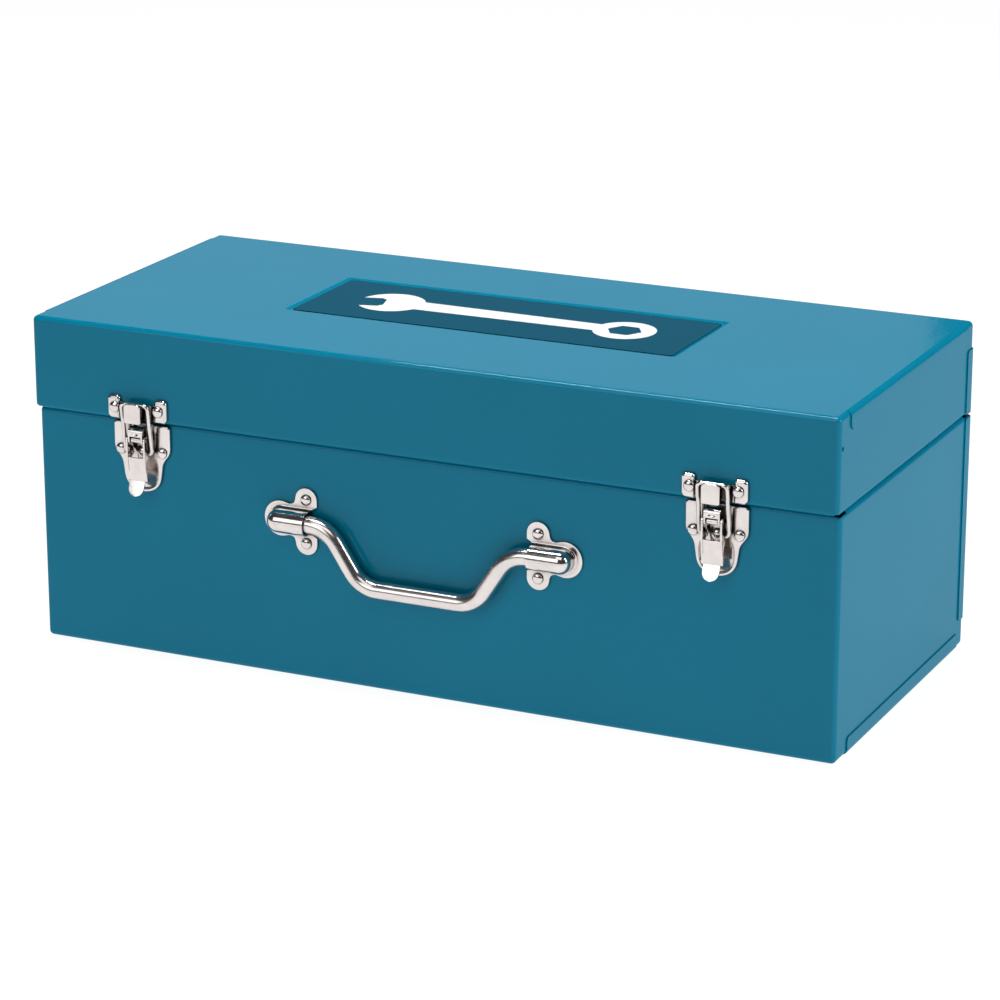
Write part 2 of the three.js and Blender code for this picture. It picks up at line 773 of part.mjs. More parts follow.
// The lid leaf: a plate above the seam with one rolled knuckle between the bracket's ears.
function hingeLeaf() {
  const knuckleHalf = hingeEarInner - 0.5;
  const [low, high] = hingeLidSpan;
  const outline = roundedRect(-hingeLeafHalf, hingeLeafHalf, low, high, hingeCorner);
  const plate = prismY(outline, seat, seat + hingePlate);
  const web = block(-knuckleHalf, knuckleHalf, seat, seat + hingePlate, 0, 8);
  const knuckle = cylinderX(hingeKnuckle, -knuckleHalf, knuckleHalf, hingePinOut, 0, 24);
  const root = block(-knuckleHalf, knuckleHalf, seat, hingePinOut, 1, 2.6);
  const holes = [
    cylinderX(hingePinRadius + seat, -20, 20, hingePinOut, 0),
    rivetHole(-hingeRivet.x, hingeRivet.lid, -1, 4),
    rivetHole(hingeRivet.x, hingeRivet.lid, -1, 4),
  ];
  return cut(joined(plate, web, knuckle, root), ...holes);
}

function hingePin() {
  const reach = hingeEarInner + hingePlate + seat;
  return joined(
    cylinderX(hingePinRadius, -reach - 0.5, reach + 0.5, hingePinOut, 0),
    cylinderX(hingePinHead, reach, reach + 1, hingePinOut, 0),
    cylinderX(hingePinHead, -reach - 1, -reach, hingePinOut, 0),
  );
}

// ---------- assembly ----------

const toolBox = new THREE.Group();

function addFixed() {
  toolBox.add(node('base_shell', baseShell(), paint));
  toolBox.add(node('lid_shell', lidShell(), paint));
  toolBox.add(node('lid_label', lidLabel(), print));
  toolBox.add(node('handle_rod', handleRod(), rodNickel));
}

function addHandleFittings(label, side) {
  const bracket = node(`handle_bracket_${label}`, handleBracket(), nickel);
  bracket.position.set(0, front, handleZ);
  bracket.rotation.y = side < 0 ? Math.PI : 0;
  toolBox.add(bracket);
  for (const [level, lift] of Object.entries(handleRivets)) {
    const headSeat = front - seat - bracketPlate;
    const pin = rivet(side * earX, handleZ + lift, headSeat, front + sheet, -1);
    toolBox.add(node(`handle_rivet_${label}_${level}`, pin, nickel));
  }
}

function addLatch(label, side) {
  const place = new THREE.Group();
  place.position.set(side * latchX, front, seamHeight);
  place.add(node(`latch_plate_${label}`, latchPlate(), nickel));
  place.add(node(`keeper_${label}`, keeper(), nickel));
  place.add(node(`lever_${label}`, lever(), nickel));
  place.add(node(`lever_pin_${label}`, leverPin(), nickel));
  place.add(node(`bail_${label}`, bail(), rodNickel));
  for (const [end, sign] of Object.entries(sides)) {
    const plateSeat = -seat - panDepth;
    const plateSolid = rivet(sign * plateRivet.x, plateRivet.z, plateSeat, sheet, -1);
    place.add(node(`latch_rivet_${label}_${end}`, plateSolid, nickel));
    const keeperSeat = -lidOverhang - seat - panDepth;
    const keeperTail = sheet - lidOverhang;
    const keeperSolid = rivet(sign * keeperRivet.x, keeperRivet.z, keeperSeat, keeperTail, -1);
    place.add(node(`keeper_rivet_${label}_${end}`, keeperSolid, nickel));
  }
  const foot = rivet(0, plateFootRivet, -seat - pressed, sheet, -1);
  place.add(node(`latch_rivet_${label}_foot`, foot, nickel));
  toolBox.add(place);
}

function addHinge(label, side) {
  const place = new THREE.Group();
  place.position.set(side * hingeX, back, seamHeight);
  place.add(node(`hinge_bracket_${label}`, hingeBracket(), zinc));
  place.add(node(`hinge_leaf_${label}`, hingeLeaf(), zinc));
  place.add(node(`hinge_pin_${label}`, hingePin(), zinc));
  for (const [end, sign] of Object.entries(sides)) {
    const head = seat + hingePlate;
    const low = rivet(sign * hingeRivet.x, hingeRivet.base, head, -sheet, 1);
    const high = rivet(sign * hingeRivet.x, hingeRivet.lid, head, -sheet, 1);
    place.add(node(`hinge_base_rivet_${label}_${end}`, low, zinc));
    place.add(node(`hinge_lid_rivet_${label}_${end}`, high, zinc));
  }
  toolBox.add(place);
}

addFixed();
for (const [label, side] of Object.entries(sides)) {
  addHandleFittings(label, side);
  addLatch(label, side);
  addHinge(label, side);
}

export default toolBox;
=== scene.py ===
"""Looks for the steel tool box: folded and painted shells, pressed nickel fittings, studio."""

import math

import bmesh
import bpy
import numpy as np
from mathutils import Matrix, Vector


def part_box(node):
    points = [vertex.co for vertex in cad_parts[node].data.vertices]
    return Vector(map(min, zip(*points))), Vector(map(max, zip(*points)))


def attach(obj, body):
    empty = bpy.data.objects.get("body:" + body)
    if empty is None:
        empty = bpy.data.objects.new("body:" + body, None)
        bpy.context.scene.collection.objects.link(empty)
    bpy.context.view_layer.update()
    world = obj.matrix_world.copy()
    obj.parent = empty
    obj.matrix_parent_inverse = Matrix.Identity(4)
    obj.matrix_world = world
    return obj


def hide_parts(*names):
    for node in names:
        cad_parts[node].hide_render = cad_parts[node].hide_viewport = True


MM = 0.001
SIDES = {"left": -1, "right": 1}

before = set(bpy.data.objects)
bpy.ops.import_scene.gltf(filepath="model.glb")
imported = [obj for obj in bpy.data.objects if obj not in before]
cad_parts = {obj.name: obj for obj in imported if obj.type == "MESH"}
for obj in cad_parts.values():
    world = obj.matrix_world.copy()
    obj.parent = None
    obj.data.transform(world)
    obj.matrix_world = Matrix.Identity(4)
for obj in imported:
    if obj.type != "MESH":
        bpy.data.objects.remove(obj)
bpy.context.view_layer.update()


def box_mm(node):
    """A CAD node's lowest and highest corners, in millimetres."""
    low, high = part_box(node)
    return np.array(low) / MM, np.array(high) / MM


# ---------- sizes, in millimetres, from the CAD frame ----------

BASE_LOW, BASE_HIGH = box_mm("base_shell")
LID_LOW, LID_HIGH = box_mm("lid_shell")
ROD_LOW, ROD_HIGH = box_mm("handle_rod")
FRONT, BACK = BASE_LOW[1], BASE_HIGH[1]
LID_FRONT = LID_LOW[1]
HALF = BASE_HIGH[0]
SHEET = 0.8
WING = HALF - SHEET
BEND = 3.0                      # outer radius of the folds
RIM = 9.0                       # width of the rims round the mouths
SEAM = (BASE_HIGH[2] + LID_LOW[2]) / 2
TOP = LID_HIGH[2]
SEAT = 0.3                      # gap between the front wall and the fittings on it

ROD_RADIUS = 5.25
HANDLE_Z = ROD_HIGH[2] - ROD_RADIUS
HANDLE_OUT = FRONT - (ROD_LOW[1] + ROD_RADIUS)
LATCH_X = box_mm("lever_right")[0][0] / 2 + box_mm("lever_right")[1][0] / 2


# ---------- mesh helpers ----------

SHARP_DEGREES = 38.0
SHEET_SHARP_DEGREES = 50.0
MERGE_DISTANCE = 0.004
LEAST_EDGE = 0.002


def finish_mesh(obj):
    """Smooth shading with the sharp folds kept, and flat panels kept flat."""
    mesh = obj.data
    for polygon in mesh.polygons:
        polygon.use_smooth = True
    mesh.set_sharp_from_angle(angle=math.radians(SHARP_DEGREES))
    weighted = obj.modifiers.new("weighted_normals", "WEIGHTED_NORMAL")
    weighted.keep_sharp = True
    weighted.weight = 80


def piece(name, vertices, faces, material, body, stands_for=(), slot=None, bevel=0.0):
    """One mesh piece from points in millimetres, riding on a CAD body."""
    mesh = bpy.data.meshes.new(name)
    mesh.from_pydata([tuple(float(c) * MM for c in v) for v in vertices], [], faces)
    obj = bpy.data.objects.new(name, mesh)
    bpy.context.scene.collection.objects.link(obj)
    clean(mesh)
    if bevel:
        edge = obj.modifiers.new("edge", "BEVEL")
        edge.width = bevel * MM
        edge.segments = 3
        edge.limit_method = "ANGLE"
        edge.angle_limit = math.radians(SHARP_DEGREES)
        edge.harden_normals = False
    finish_mesh(obj)
    mesh.materials.append(material)
    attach(obj, body)
    if stands_for:
        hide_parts(*stands_for)
    return obj


def sheet_and_edges(obj, thickness, edge_width):
    """Gives an open sheet its thickness, inwards, and rounds its edges."""
    solid = obj.modifiers.new("sheet", "SOLIDIFY")
    solid.thickness = thickness * MM
    solid.offset = -1
    edge = obj.modifiers.new("edge", "BEVEL")
    edge.width = edge_width * MM
    edge.segments = 3
    edge.limit_method = "ANGLE"
    edge.angle_limit = math.radians(SHEET_SHARP_DEGREES)
    obj.modifiers.move(obj.modifiers.find("weighted_normals"), len(obj.modifiers) - 1)


def clean(mesh):
    """Merges doubled points and turns every face outwards."""
    work = bmesh.new()
    work.from_mesh(mesh)
    bmesh.ops.remove_doubles(work, verts=work.verts, dist=MERGE_DISTANCE * MM)
    bmesh.ops.dissolve_degenerate(work, dist=LEAST_EDGE * MM, edges=work.edges)
    bmesh.ops.recalc_face_normals(work, faces=work.faces)
    work.to_mesh(mesh)
    work.free()


def moved(part, offset):
    points, faces = part
    return [(x + offset[0], y + offset[1], z + offset[2]) for x, y, z in points], faces


def loft(rings, cap_start=True, cap_end=True, closed=True):
    """Quads between rings that have the same number of points."""
    count = len(rings[0])
    vertices = [p for ring in rings for p in ring]
    faces = []
    last = count if closed else count - 1
    for r in range(len(rings) - 1):
        a, b = r * count, (r + 1) * count
        for i in range(last):
            j = (i + 1) % count
            faces.append((a + i, a + j, b + j, b + i))
    if cap_start:
        faces.append(tuple(range(count)))
    if cap_end:
        start = (len(rings) - 1) * count
        faces.append(tuple(range(start + count - 1, start - 1, -1)))
    return vertices, faces


def arc(centre, radius, start, end, steps):
    """Points on an arc in a plane, angles in degrees."""
    angles = np.radians(np.linspace(start, end, steps + 1))
    return [(centre[0] + radius * math.cos(a), centre[1] + radius * math.sin(a)) for a in angles]


def rounded_rect(u0, u1, v0, v1, radius, steps=5):
    return (
        arc((u1 - radius, v1 - radius), radius, 0, 90, steps)
        + arc((u0 + radius, v1 - radius), radius, 90, 180, steps)
        + arc((u0 + radius, v0 + radius), radius, 180, 270, steps)
        + arc((u1 - radius, v0 + radius), radius, 270, 360, steps)
    )


def bezier(p0, p1, p2, p3, steps=8):
    out = []
    for t in np.linspace(0, 1, steps + 1)[1:]:
        a, b, c, d = (1 - t) ** 3, 3 * t * (1 - t) ** 2, 3 * t * t * (1 - t), t ** 3
        out.append(tuple(a * np.array(p0) + b * np.array(p1) + c * np.array(p2) + d * np.array(p3)))
    return out


def inset(points, distance):
    """A closed outline moved inwards; points run anticlockwise."""
    ring = [np.array(p, float) for p in points]
    out = []
    for i, point in enumerate(ring):
        a = point - ring[i - 1]
        b = ring[(i + 1) % len(ring)] - point
        a /= max(np.linalg.norm(a), 1e-9)
        b /= max(np.linalg.norm(b), 1e-9)
        normal = np.array([-(a[1] + b[1]), a[0] + b[0]])
        normal /= max(np.linalg.norm(normal), 1e-9)
        spread = max(0.6, float(normal @ np.array([-a[1], a[0]])))
        out.append(tuple(point + normal * distance / spread))
    return out


def tidy_outline(points, least=0.08):
    """The outline anticlockwise, without points that nearly coincide."""
    kept = []
    for p in points:
        if not kept or math.dist(p, kept[-1]) > least:
            kept.append((float(p[0]), float(p[1])))
    if math.dist(kept[0], kept[-1]) < least:
        kept.pop()
    area = sum(a[0] * b[1] - b[0] * a[1] for a, b in zip(kept, kept[1:] + kept[:1]))
    return kept if area > 0 else kept[::-1]


def front_ring(outline, out):
    """An (x, z) outline stood in the front plane, out towards -Y."""
    return [(u, -out, v) for u, v in outline]


def cushion(outline, low, high, radius, steps=5):
    """A plate in the front plane from low to high, with its front edges rounded."""
    outline = tidy_outline(outline)
    rings = [front_ring(outline, low), front_ring(outline, high - radius)]
    for k in range(1, steps + 1):
        a = math.radians(90 * k / steps)
        smaller = inset(outline, radius * (1 - math.cos(a)))
        rings.append(front_ring(smaller, high - radius + radius * math.sin(a)))
    return loft(rings)


def extruded_x(outline, x0, x1):
    """A (y, z) outline run along X."""
    return loft([[(x, y, z) for y, z in outline] for x in (x0, x1)])


END_ANGLES = np.radians([80, 60, 40, 20, 0])
END_FLATTENING = 0.35


def tube(path, radius, sides=24):
    """A round bar along a path of points, its frame carried along without twist."""
    path = [Vector(p) for p in path]
    tangents = []
    for i in range(len(path)):
        ahead = path[min(i + 1, len(path) - 1)] - path[max(i - 1, 0)]
        tangents.append(ahead.normalized())
    normal = tangents[0].orthogonal().normalized()
    rings = []
    for i, (p, t) in enumerate(zip(path, tangents)):
        normal = (normal - t * normal.dot(t)).normalized()
        side = t.cross(normal)
        steps = [(0.0, 1.0)]
        if i in (0, len(path) - 1):
            sign = -1 if i == 0 else 1
            steps = [
                (sign * radius * END_FLATTENING * math.sin(a), math.cos(a))
                for a in END_ANGLES
            ]
            steps = steps if i == 0 else steps[::-1]
        for shift, scale in steps:
            ring = []
            for k in range(sides):
                a = 2 * math.pi * k / sides
                outward = normal * math.cos(a) + side * math.sin(a)
                ring.append(p + t * shift + outward * radius * scale)
            rings.append([tuple(q) for q in ring])
    return loft(rings)


def rounded_route(corners, radius, steps=10):
    """Straight runs joined by true circular bends."""
    corners = [Vector(c) for c in corners]
    route = [corners[0]]
    for before, corner, after in zip(corners, corners[1:], corners[2:]):
        u, v = (before - corner).normalized(), (after - corner).normalized()
        half_angle = u.angle(v) / 2
        tangent = radius / math.tan(half_angle)
        centre = corner + (u + v).normalized() * radius / math.sin(half_angle)
        a, b = corner + u * tangent - centre, corner + v * tangent - centre
        sweep = a.angle(b)
        for k in range(steps + 1):
            t = k / steps
            spoke = a * math.sin((1 - t) * sweep) + b * math.sin(t * sweep)
            route.append(centre + spoke / math.sin(sweep))
    return route + [corners[-1]]


def lathe_y(profile, segments=32):
    """A (radius, out) profile turned about the -Y direction."""
    rings = []
    for radius, out in profile:
        angles = [2 * math.pi * k / segments for k in range(segments)]
        rings.append([(radius * math.cos(a), -out, radius * math.sin(a)) for a in angles])
    return loft(rings)


def solid_piece(name, parts, material, body, cuts=(), **settings):
    """One piece whose overlapping closed solids are joined, and then cut by others."""
    whole = scratch("whole", parts[0])
    for part in parts[1:]:
        combine(whole, scratch("part", part), "UNION")
    for part in cuts:
        combine(whole, scratch("cut", part), "DIFFERENCE")
    vertices = [tuple(c / MM for c in v.co) for v in whole.data.vertices]
    faces = [tuple(p.vertices) for p in whole.data.polygons]
    bpy.data.objects.remove(whole)
    return piece(name, vertices, faces, material, body, **settings)


def scratch(name, part):
    """A working object, in millimetres times MM, which never stays in the scene."""
    vertices, faces = part
    mesh = bpy.data.meshes.new(name)
    mesh.from_pydata([tuple(float(c) * MM for c in v) for v in vertices], [], faces)
    clean(mesh)
    obj = bpy.data.objects.new(name, mesh)
    bpy.context.scene.collection.objects.link(obj)
    return obj


def combine(whole, part, operation):
    step = whole.modifiers.new("step", "BOOLEAN")
    step.operation = operation
    step.solver = "EXACT"
    step.object = part
    graph = bpy.context.evaluated_depsgraph_get()
    result = bpy.data.meshes.new_from_object(whole.evaluated_get(graph))
    whole.modifiers.clear()
    whole.data = result
    bpy.data.objects.remove(part)


def block(x0, x1, y0, y1, z0, z1):
    return loft([[(x0, y0, z), (x1, y0, z), (x1, y1, z), (x0, y1, z)] for z in (z0, z1)])


# ---------- materials ----------

def material(name, build, **settings):
    made = bpy.data.materials.new(name)
    made.use_nodes = True
    tree = made.node_tree
    shader = tree.nodes["Principled BSDF"]
    for socket, value in settings.items():
        shader.inputs[socket.replace("_", " ")].default_value = value
    build(tree, shader)
    return made


def add(tree, kind, **settings):
    node = tree.nodes.new(kind)
    for key, value in settings.items():
        if key in node.inputs:
            node.inputs[key].default_value = value
        else:
            setattr(node, key, value)
    return node


def noise(tree, scale, detail=2.0, stretch=(1, 1, 1)):
    place = add(tree, "ShaderNodeTexCoord")
    mapping = add(tree, "ShaderNodeMapping")
    mapping.inputs["Scale"].default_value = stretch
    texture = add(tree, "ShaderNodeTexNoise", Scale=scale, Detail=detail)
    tree.links.new(place.outputs["Object"], mapping.inputs["Vector"])
    tree.links.new(mapping.outputs["Vector"], texture.inputs["Vector"])
    return texture


def ramp(tree, source, low, high, start=0.35, end=0.65):
    """A value that runs from low to high, or a colour where low and high are colours."""
    blend = add(tree, "ShaderNodeValToRGB")
    for element, place, value in zip(blend.color_ramp.elements, (start, end), (low, high)):
        element.position = place
        element.color = value if hasattr(value, "__len__") else (value, value, value, 1)
    tree.links.new(source, blend.inputs["Fac"])
    return blend.outputs["Color"]


def bumps(tree, shader, *layers):
    """Stacked bump layers, each (height, distance in metres, strength)."""
    last = None
    for height, distance, strength in layers:
        bump = add(tree, "ShaderNodeBump", Distance=distance, Strength=strength)
        tree.links.new(height, bump.inputs["Height"])
        if last:
            tree.links.new(last, bump.inputs["Normal"])
        last = bump.outputs["Normal"]
    tree.links.new(last, shader.inputs["Normal"])
    tree.links.new(last, shader.inputs["Coat Normal"])


def shade(colour, factor):
    return tuple(c * factor for c in colour) + (1,)


PAINT = (0.001, 0.170, 0.278)
PAINT_ROUGH = (0.3, 0.36)
PAINT_PEEL_SCALE = 260
PAINT_DUST_SCALE = 2600


def painted(colour):
    def build(tree, shader):
        drift = noise(tree, 9, 3)
        tone = ramp(tree, drift.outputs["Fac"], shade(colour, 0.98), shade(colour, 1.02))
        tree.links.new(tone, shader.inputs["Base Color"])
        cloud = noise(tree, 45, 4)
        gloss = ramp(tree, cloud.outputs["Fac"], PAINT_ROUGH[0], PAINT_ROUGH[1])
        tree.links.new(gloss, shader.inputs["Roughness"])
        peel = noise(tree, PAINT_PEEL_SCALE, 1.5)
        dust = noise(tree, PAINT_DUST_SCALE, 2)
        bumps(tree, shader, (peel.outputs["Fac"], 0.00006, 0.6), (dust.outputs["Fac"], 0.000006, 0.35))
    return build


PRINT = (0.0005, 0.066, 0.114)
WHITE_INK = (0.78, 0.79, 0.80)
NICKEL = (0.72, 0.67, 0.65)
ZINC = (0.52, 0.53, 0.55)
DRAWN_GRAIN = (0.2, 1, 1)       # noise stretched along the rod's length
# Painted shade in crevices: how far the ambient occlusion looks, and the darkest colour it paints.
CREVICE_REACH = 0.006
PAINTED_CREVICE_SHADE = (0.10, 0.085, 0.08, 1)


def plated(colour, rough_low, rough_high, grain_scale, grain_depth, stretch=(1, 1, 1)):
    def build(tree, shader):
        stain = noise(tree, 120, 3)
        tone = ramp(tree, stain.outputs["Fac"], shade(colour, 0.93), shade(colour, 1.03))
        # Painted shade: ambient occlusion darkens the base colour in crevices, hollows and where parts
        # meet.
        crevice = add(tree, "ShaderNodeAmbientOcclusion", Distance=CREVICE_REACH)
        crevice.samples = 8
        painted_crevice_shade = ramp(tree, crevice.outputs["AO"], PAINTED_CREVICE_SHADE, 1.0, 0.25, 0.85)
        blend = add(tree, "ShaderNodeMix", data_type="RGBA", blend_type="MULTIPLY")
        blend.inputs["Factor"].default_value = 1.0
        tree.links.new(tone, blend.inputs["A"])
        tree.links.new(painted_crevice_shade, blend.inputs["B"])
        tree.links.new(blend.outputs["Result"], shader.inputs["Base Color"])
        haze = noise(tree, 600, 4, stretch)
        gloss = ramp(tree, haze.outputs["Fac"], rough_low, rough_high)
        tree.links.new(gloss, shader.inputs["Roughness"])
        grain = noise(tree, grain_scale, 3, stretch)
        dent = noise(tree, 300, 1)
        bumps(
            tree,
            shader,
            (grain.outputs["Fac"], grain_depth, 0.5),
            (dent.outputs["Fac"], 0.00003, 0.25),
        )
    return build


teal_paint = material(
    "teal_gloss_paint",
    painted(PAINT),
    Specular_IOR_Level=0.0,
    Coat_Weight=0.3,
    Coat_Roughness=0.08,
)
label_print = material(
    "label_teal_print",
    painted(PRINT),
    Specular_IOR_Level=0.0,
    Coat_Weight=0.08,
    Coat_Roughness=0.12,
)
white_print = material("label_white_print", painted(WHITE_INK), Specular_IOR_Level=0.2)
rod_nickel = material(
    "bright_nickel_rod",
    plated(NICKEL, 0.17, 0.24, 1400, 0.000012, DRAWN_GRAIN),
    Metallic=1.0,
)
press_nickel = material(
    "pressed_nickel_sheet",
    plated(NICKEL, 0.10, 0.17, 2200, 0.00001),
    Metallic=1.0,
)
zinc = material(
    "zinc_plated_steel",
    plated(ZINC, 0.24, 0.38, 1800, 0.00002),
    Metallic=1.0,
)


# ---------- box shells ----------

MOUTH_CORNER = 0.45             # corner radius of the mouths and of the label's recess floor
RELIEF = 5.0                    # how far the corner gaps reach in from the sides


def shell_ring(z, inward, front_wall, corner):
    """A level ring round the box, a distance in from the outer walls."""
    ring = rounded_rect(
        -WING + inward,
        WING - inward,
        front_wall + inward,
        BACK - inward,
        corner,
        steps=7,
    )
    return [(x, y, z) for x, y in ring]


def fold(front_wall, z_panel, towards, inset_by, radius, to_wall):
    """A fold's rings, from panel to wall, or from wall to panel; towards is the wall's direction."""
    rings = []
    for k in range(9):
        a = math.radians(90 * k / 8)
        if not to_wall:
            a = math.radians(90) - a
        inward = inset_by + radius * (1 - math.sin(a))
        z = z_panel + towards * radius * (1 - math.cos(a))
        corner = max(BEND - inward, 0.3)
        rings.append(shell_ring(z, inward, front_wall, corner))
    return rings


def relief_blocks(front_wall, z0, z1):
    """The gaps where the rims round a mouth stop short of each other."""
    blocks = []
    for side in (-1, 1):
        xs = sorted((side * (WING - SHEET), side * (WING - RELIEF)))
        blocks.append(block(xs[0], xs[1], front_wall + SHEET, FRONT + RIM + 1, z0, z1))
        blocks.append(block(xs[0], xs[1], BACK - RIM - 1, BACK - SHEET, z0, z1))
    return blocks


def mouth_ring(z):
    ring = rounded_rect(-WING + RIM, WING - RIM, FRONT + RIM, BACK - RIM, MOUTH_CORNER, steps=7)
    return [(x, y, z) for x, y in ring]


def make_base():
    top = BASE_HIGH[2]
    rings = fold(FRONT, 0.0, 1, 0.0, BEND, True)
    rings += fold(FRONT, top, -1, 0.0, BEND, False)
    rings += [mouth_ring(top), mouth_ring(top - SHEET)]
    rings += fold(FRONT, top - SHEET, -1, SHEET, BEND - SHEET, True)
    rings += fold(FRONT, SHEET, 1, SHEET, BEND - SHEET, False)
    gaps = relief_blocks(FRONT, top - 2 * SHEET, top + 1)
    solid_piece(
        "base_panels",
        [loft(rings)],
        teal_paint,
        "base",
        gaps,
        stands_for=["base_shell"],
        slot="teal_paint",
    )


LABEL_HALF = (124.0, 42.0)
LABEL_Y = 3.0
LABEL_DEPTH = 1.0
LABEL_SLOPE = 3.5
LABEL_CORNER = 2.5


def recess_ring(z, grow):
    ring = rounded_rect(
        -LABEL_HALF[0] - grow,
        LABEL_HALF[0] + grow,
        LABEL_Y - LABEL_HALF[1] - grow,
        LABEL_Y + LABEL_HALF[1] + grow,
        max(LABEL_CORNER + grow, MOUTH_CORNER),
        steps=7,
    )
    return [(x, y, z) for x, y in ring]


def recess_rings(level, spread):
    """The recess's sloping border, easing in and out, from its floor up to the panel."""
    rings = []
    for k in range(9):
        t = k / 8
        ease = t * t * (3 - 2 * t)
        rings.append(recess_ring(level - LABEL_DEPTH * (1 - ease), spread - LABEL_SLOPE * (1 - t)))
    return rings


PIT_RADIUS = 1.5
PIT_DEPTH = 1.1
PIT_INSET = 0.15                # its centre, in from the side wall's face
PIT_BACK = 4.2                  # behind the lid's front
PIT_DOWN = 18.0                 # below the lid's top


def weld_pit():
    """A small hollow left by the corner's weld, on the lid's right side."""
    turns = np.radians(np.linspace(-90, 90, 9))
    rings = []
    for a in turns:
        radius = max(PIT_RADIUS * math.cos(a), 0.01)
        circle = arc((LID_FRONT + PIT_BACK, TOP - PIT_DOWN), radius, 0, 337.5, 15)
        rings.append([(WING - PIT_INSET + PIT_DEPTH * math.sin(a), y, z) for y, z in circle])
    return loft(rings)


def make_lid():
    low = LID_LOW[2]
    rings = recess_rings(TOP, 0.0)
    rings += fold(LID_FRONT, TOP, -1, 0.0, BEND, True)
    rings += fold(LID_FRONT, low, 1, 0.0, BEND, False)
    rings += [mouth_ring(low), mouth_ring(low + SHEET)]
    rings += fold(LID_FRONT, low + SHEET, 1, SHEET, BEND - SHEET, True)
    rings += fold(LID_FRONT, TOP - SHEET, -1, SHEET, BEND - SHEET, False)
    rings += recess_rings(TOP - SHEET, 0.4)[::-1]
    gaps = relief_blocks(LID_FRONT, low - 1, low + 2 * SHEET)
    gaps.append(weld_pit())
    solid_piece(
        "lid_panels",
        [loft(rings)],
        teal_paint,
        "lid",
        gaps,
        stands_for=["lid_shell"],
        slot="teal_paint",
    )


def fold_and_face(reach):
    """The (x, distance) line of a flap: round its fold, then flat along the side to its reach."""
    line = []
    for k in range(7):
        a = math.radians(90 * k / 6)
        line.append((HALF - BEND + BEND * math.sin(a), BEND * (1 - math.cos(a))))
    return line + [(HALF, BEND + (reach - BEND) * t) for t in (0.35, 0.7, 1.0)]


def wrapped(side, outline_height, stops, panel_z, towards):
    """A flap's outer face: from a level panel round its fold and along the side wall."""
    rings = []
    for y in stops:
        height = outline_height(y)
        clipped = [(x, min(h, height)) for x, h in fold_and_face(height)]
        rings.append([(side * x, y, panel_z + towards * h) for x, h in clipped])
    return loft(rings, cap_start=False, cap_end=False, closed=False)


def rounded_end(y, start, end, height, radius_start, radius_end):
    """A flap's height at y, its two free corners rounded."""
    drop = 0.0
    for gap, radius in ((y - start, radius_start), (end - y, radius_end)):
        if gap < radius:
            drop = max(drop, radius - math.sqrt(max(radius ** 2 - (radius - gap) ** 2, 0)))
    return height - drop


def stations(start, end, radius_start, radius_end):
    angles = np.radians(np.linspace(0, 90, 9))
    first = [start + radius_start * (1 - math.cos(a)) for a in angles]
    last = [end - radius_end * (1 - math.cos(a)) for a in angles]
    return first + last[::-1]


FLAP_END = BACK - 12.0
FLAP_END_ROUND = 1.5
LID_FLAP = 11.0
LID_FLAP_START = LID_FRONT + 15.0
LID_FLAP_ROUND = 5.0
BASE_FLAP = 10.0
BASE_FLAP_START = FRONT + 18.0
BASE_FLAP_ROUND = 2.5
FLAP_SHEET = SHEET + 0.02       # just into the side wall behind it
FLAP_EDGE = 0.3
FLANGE = 10.5
FLANGE_ROUND = 2.5
BASE_FLANGE = (17.0, BASE_HIGH[2] - 1)
LID_FLANGE = (LID_LOW[2] + 1, TOP - 16.0)


def make_side_flap(name, body, side, start, height, corner, panel_z, towards):
    """A level panel's flap; corner is the radius of its front corner."""
    def outline_height(y):
        return rounded_end(y, start, FLAP_END, height, corner, FLAP_END_ROUND)

    stops = stations(start, FLAP_END, corner, FLAP_END_ROUND)
    flap(name, wrapped(side, outline_height, stops, panel_z, towards), body)


def make_side_flaps(side_name, side):
    name = f"lid_flap_{side_name}"
    make_side_flap(name, "lid", side, LID_FLAP_START, LID_FLAP, LID_FLAP_ROUND, TOP, -1)
    name = f"base_flap_{side_name}"
    make_side_flap(name, "base", side, BASE_FLAP_START, BASE_FLAP, BASE_FLAP_ROUND, 0.0, 1)


def flap(name, part, body):
    obj = piece(name, *part, teal_paint, body, slot="teal_paint")
    orient_outwards(obj)
    sheet_and_edges(obj, FLAP_SHEET, FLAP_EDGE)


def orient_outwards(obj):
    """Turns an open sheet's faces away from the box's middle."""
    mesh = obj.data
    centre = Vector((0, 0, SEAM * MM))
    total = sum((p.center - centre).dot(p.normal) * p.area for p in mesh.polygons)
    if total < 0:
        mesh.flip_normals()


def make_back_flanges(side_name, side):
    for body, (low, high) in (("base", BASE_FLANGE), ("lid", LID_FLANGE)):
        rings = []
        for z in stations(low, high, FLANGE_ROUND, FLANGE_ROUND):
            reach = rounded_end(z, low, high, FLANGE, FLANGE_ROUND, FLANGE_ROUND)
            rings.append([(side * x, BACK - min(h, reach), z) for x, h in fold_and_face(reach)])
        part = loft(rings, cap_start=False, cap_end=False, closed=False)
        flap(f"{body}_flange_{side_name}", part, body)


make_base()
make_lid()
for side_name, side in SIDES.items():
    make_side_flaps(side_name, side)
    make_back_flanges(side_name, side)


# ---------- label ----------

LABEL_LOW, LABEL_TOP = box_mm("lid_label")
LABEL_PLATE_CORNER = 2.0
PRINT_ROOM = 0.12               # keeps the print on the plate below the CAD label's top


def label_block(low, high, outline):
    rings = [[(x, y, low) for x, y in outline]]
    for drop, shrink in ((0.08, 0.0), (0.02, 0.02), (0.0, 0.08)):
        rings.append([(x, y, high - drop) for x, y in inset(outline, shrink)])
    return loft(rings)


SPANNER_LEFT = -74.0            # centre of the jaw
SPANNER_RIGHT = 75.0            # centre of the ring
SHAFT = 8.5                     # the shaft's half width at the jaw
SHAFT_TAPER = 0.8
SHAFT_START = 13.0              # its ends' distance from the centres of the jaw and the ring
JAW = 20.0
RING = 18.5
HEXAGON = 10.5                  # the ring's hole, from its centre to a corner
MOUTH = 9.0                     # half width
MOUTH_DEPTH = 16.0
MOUTH_SKEW = 15
INK_DEPTH = 0.1


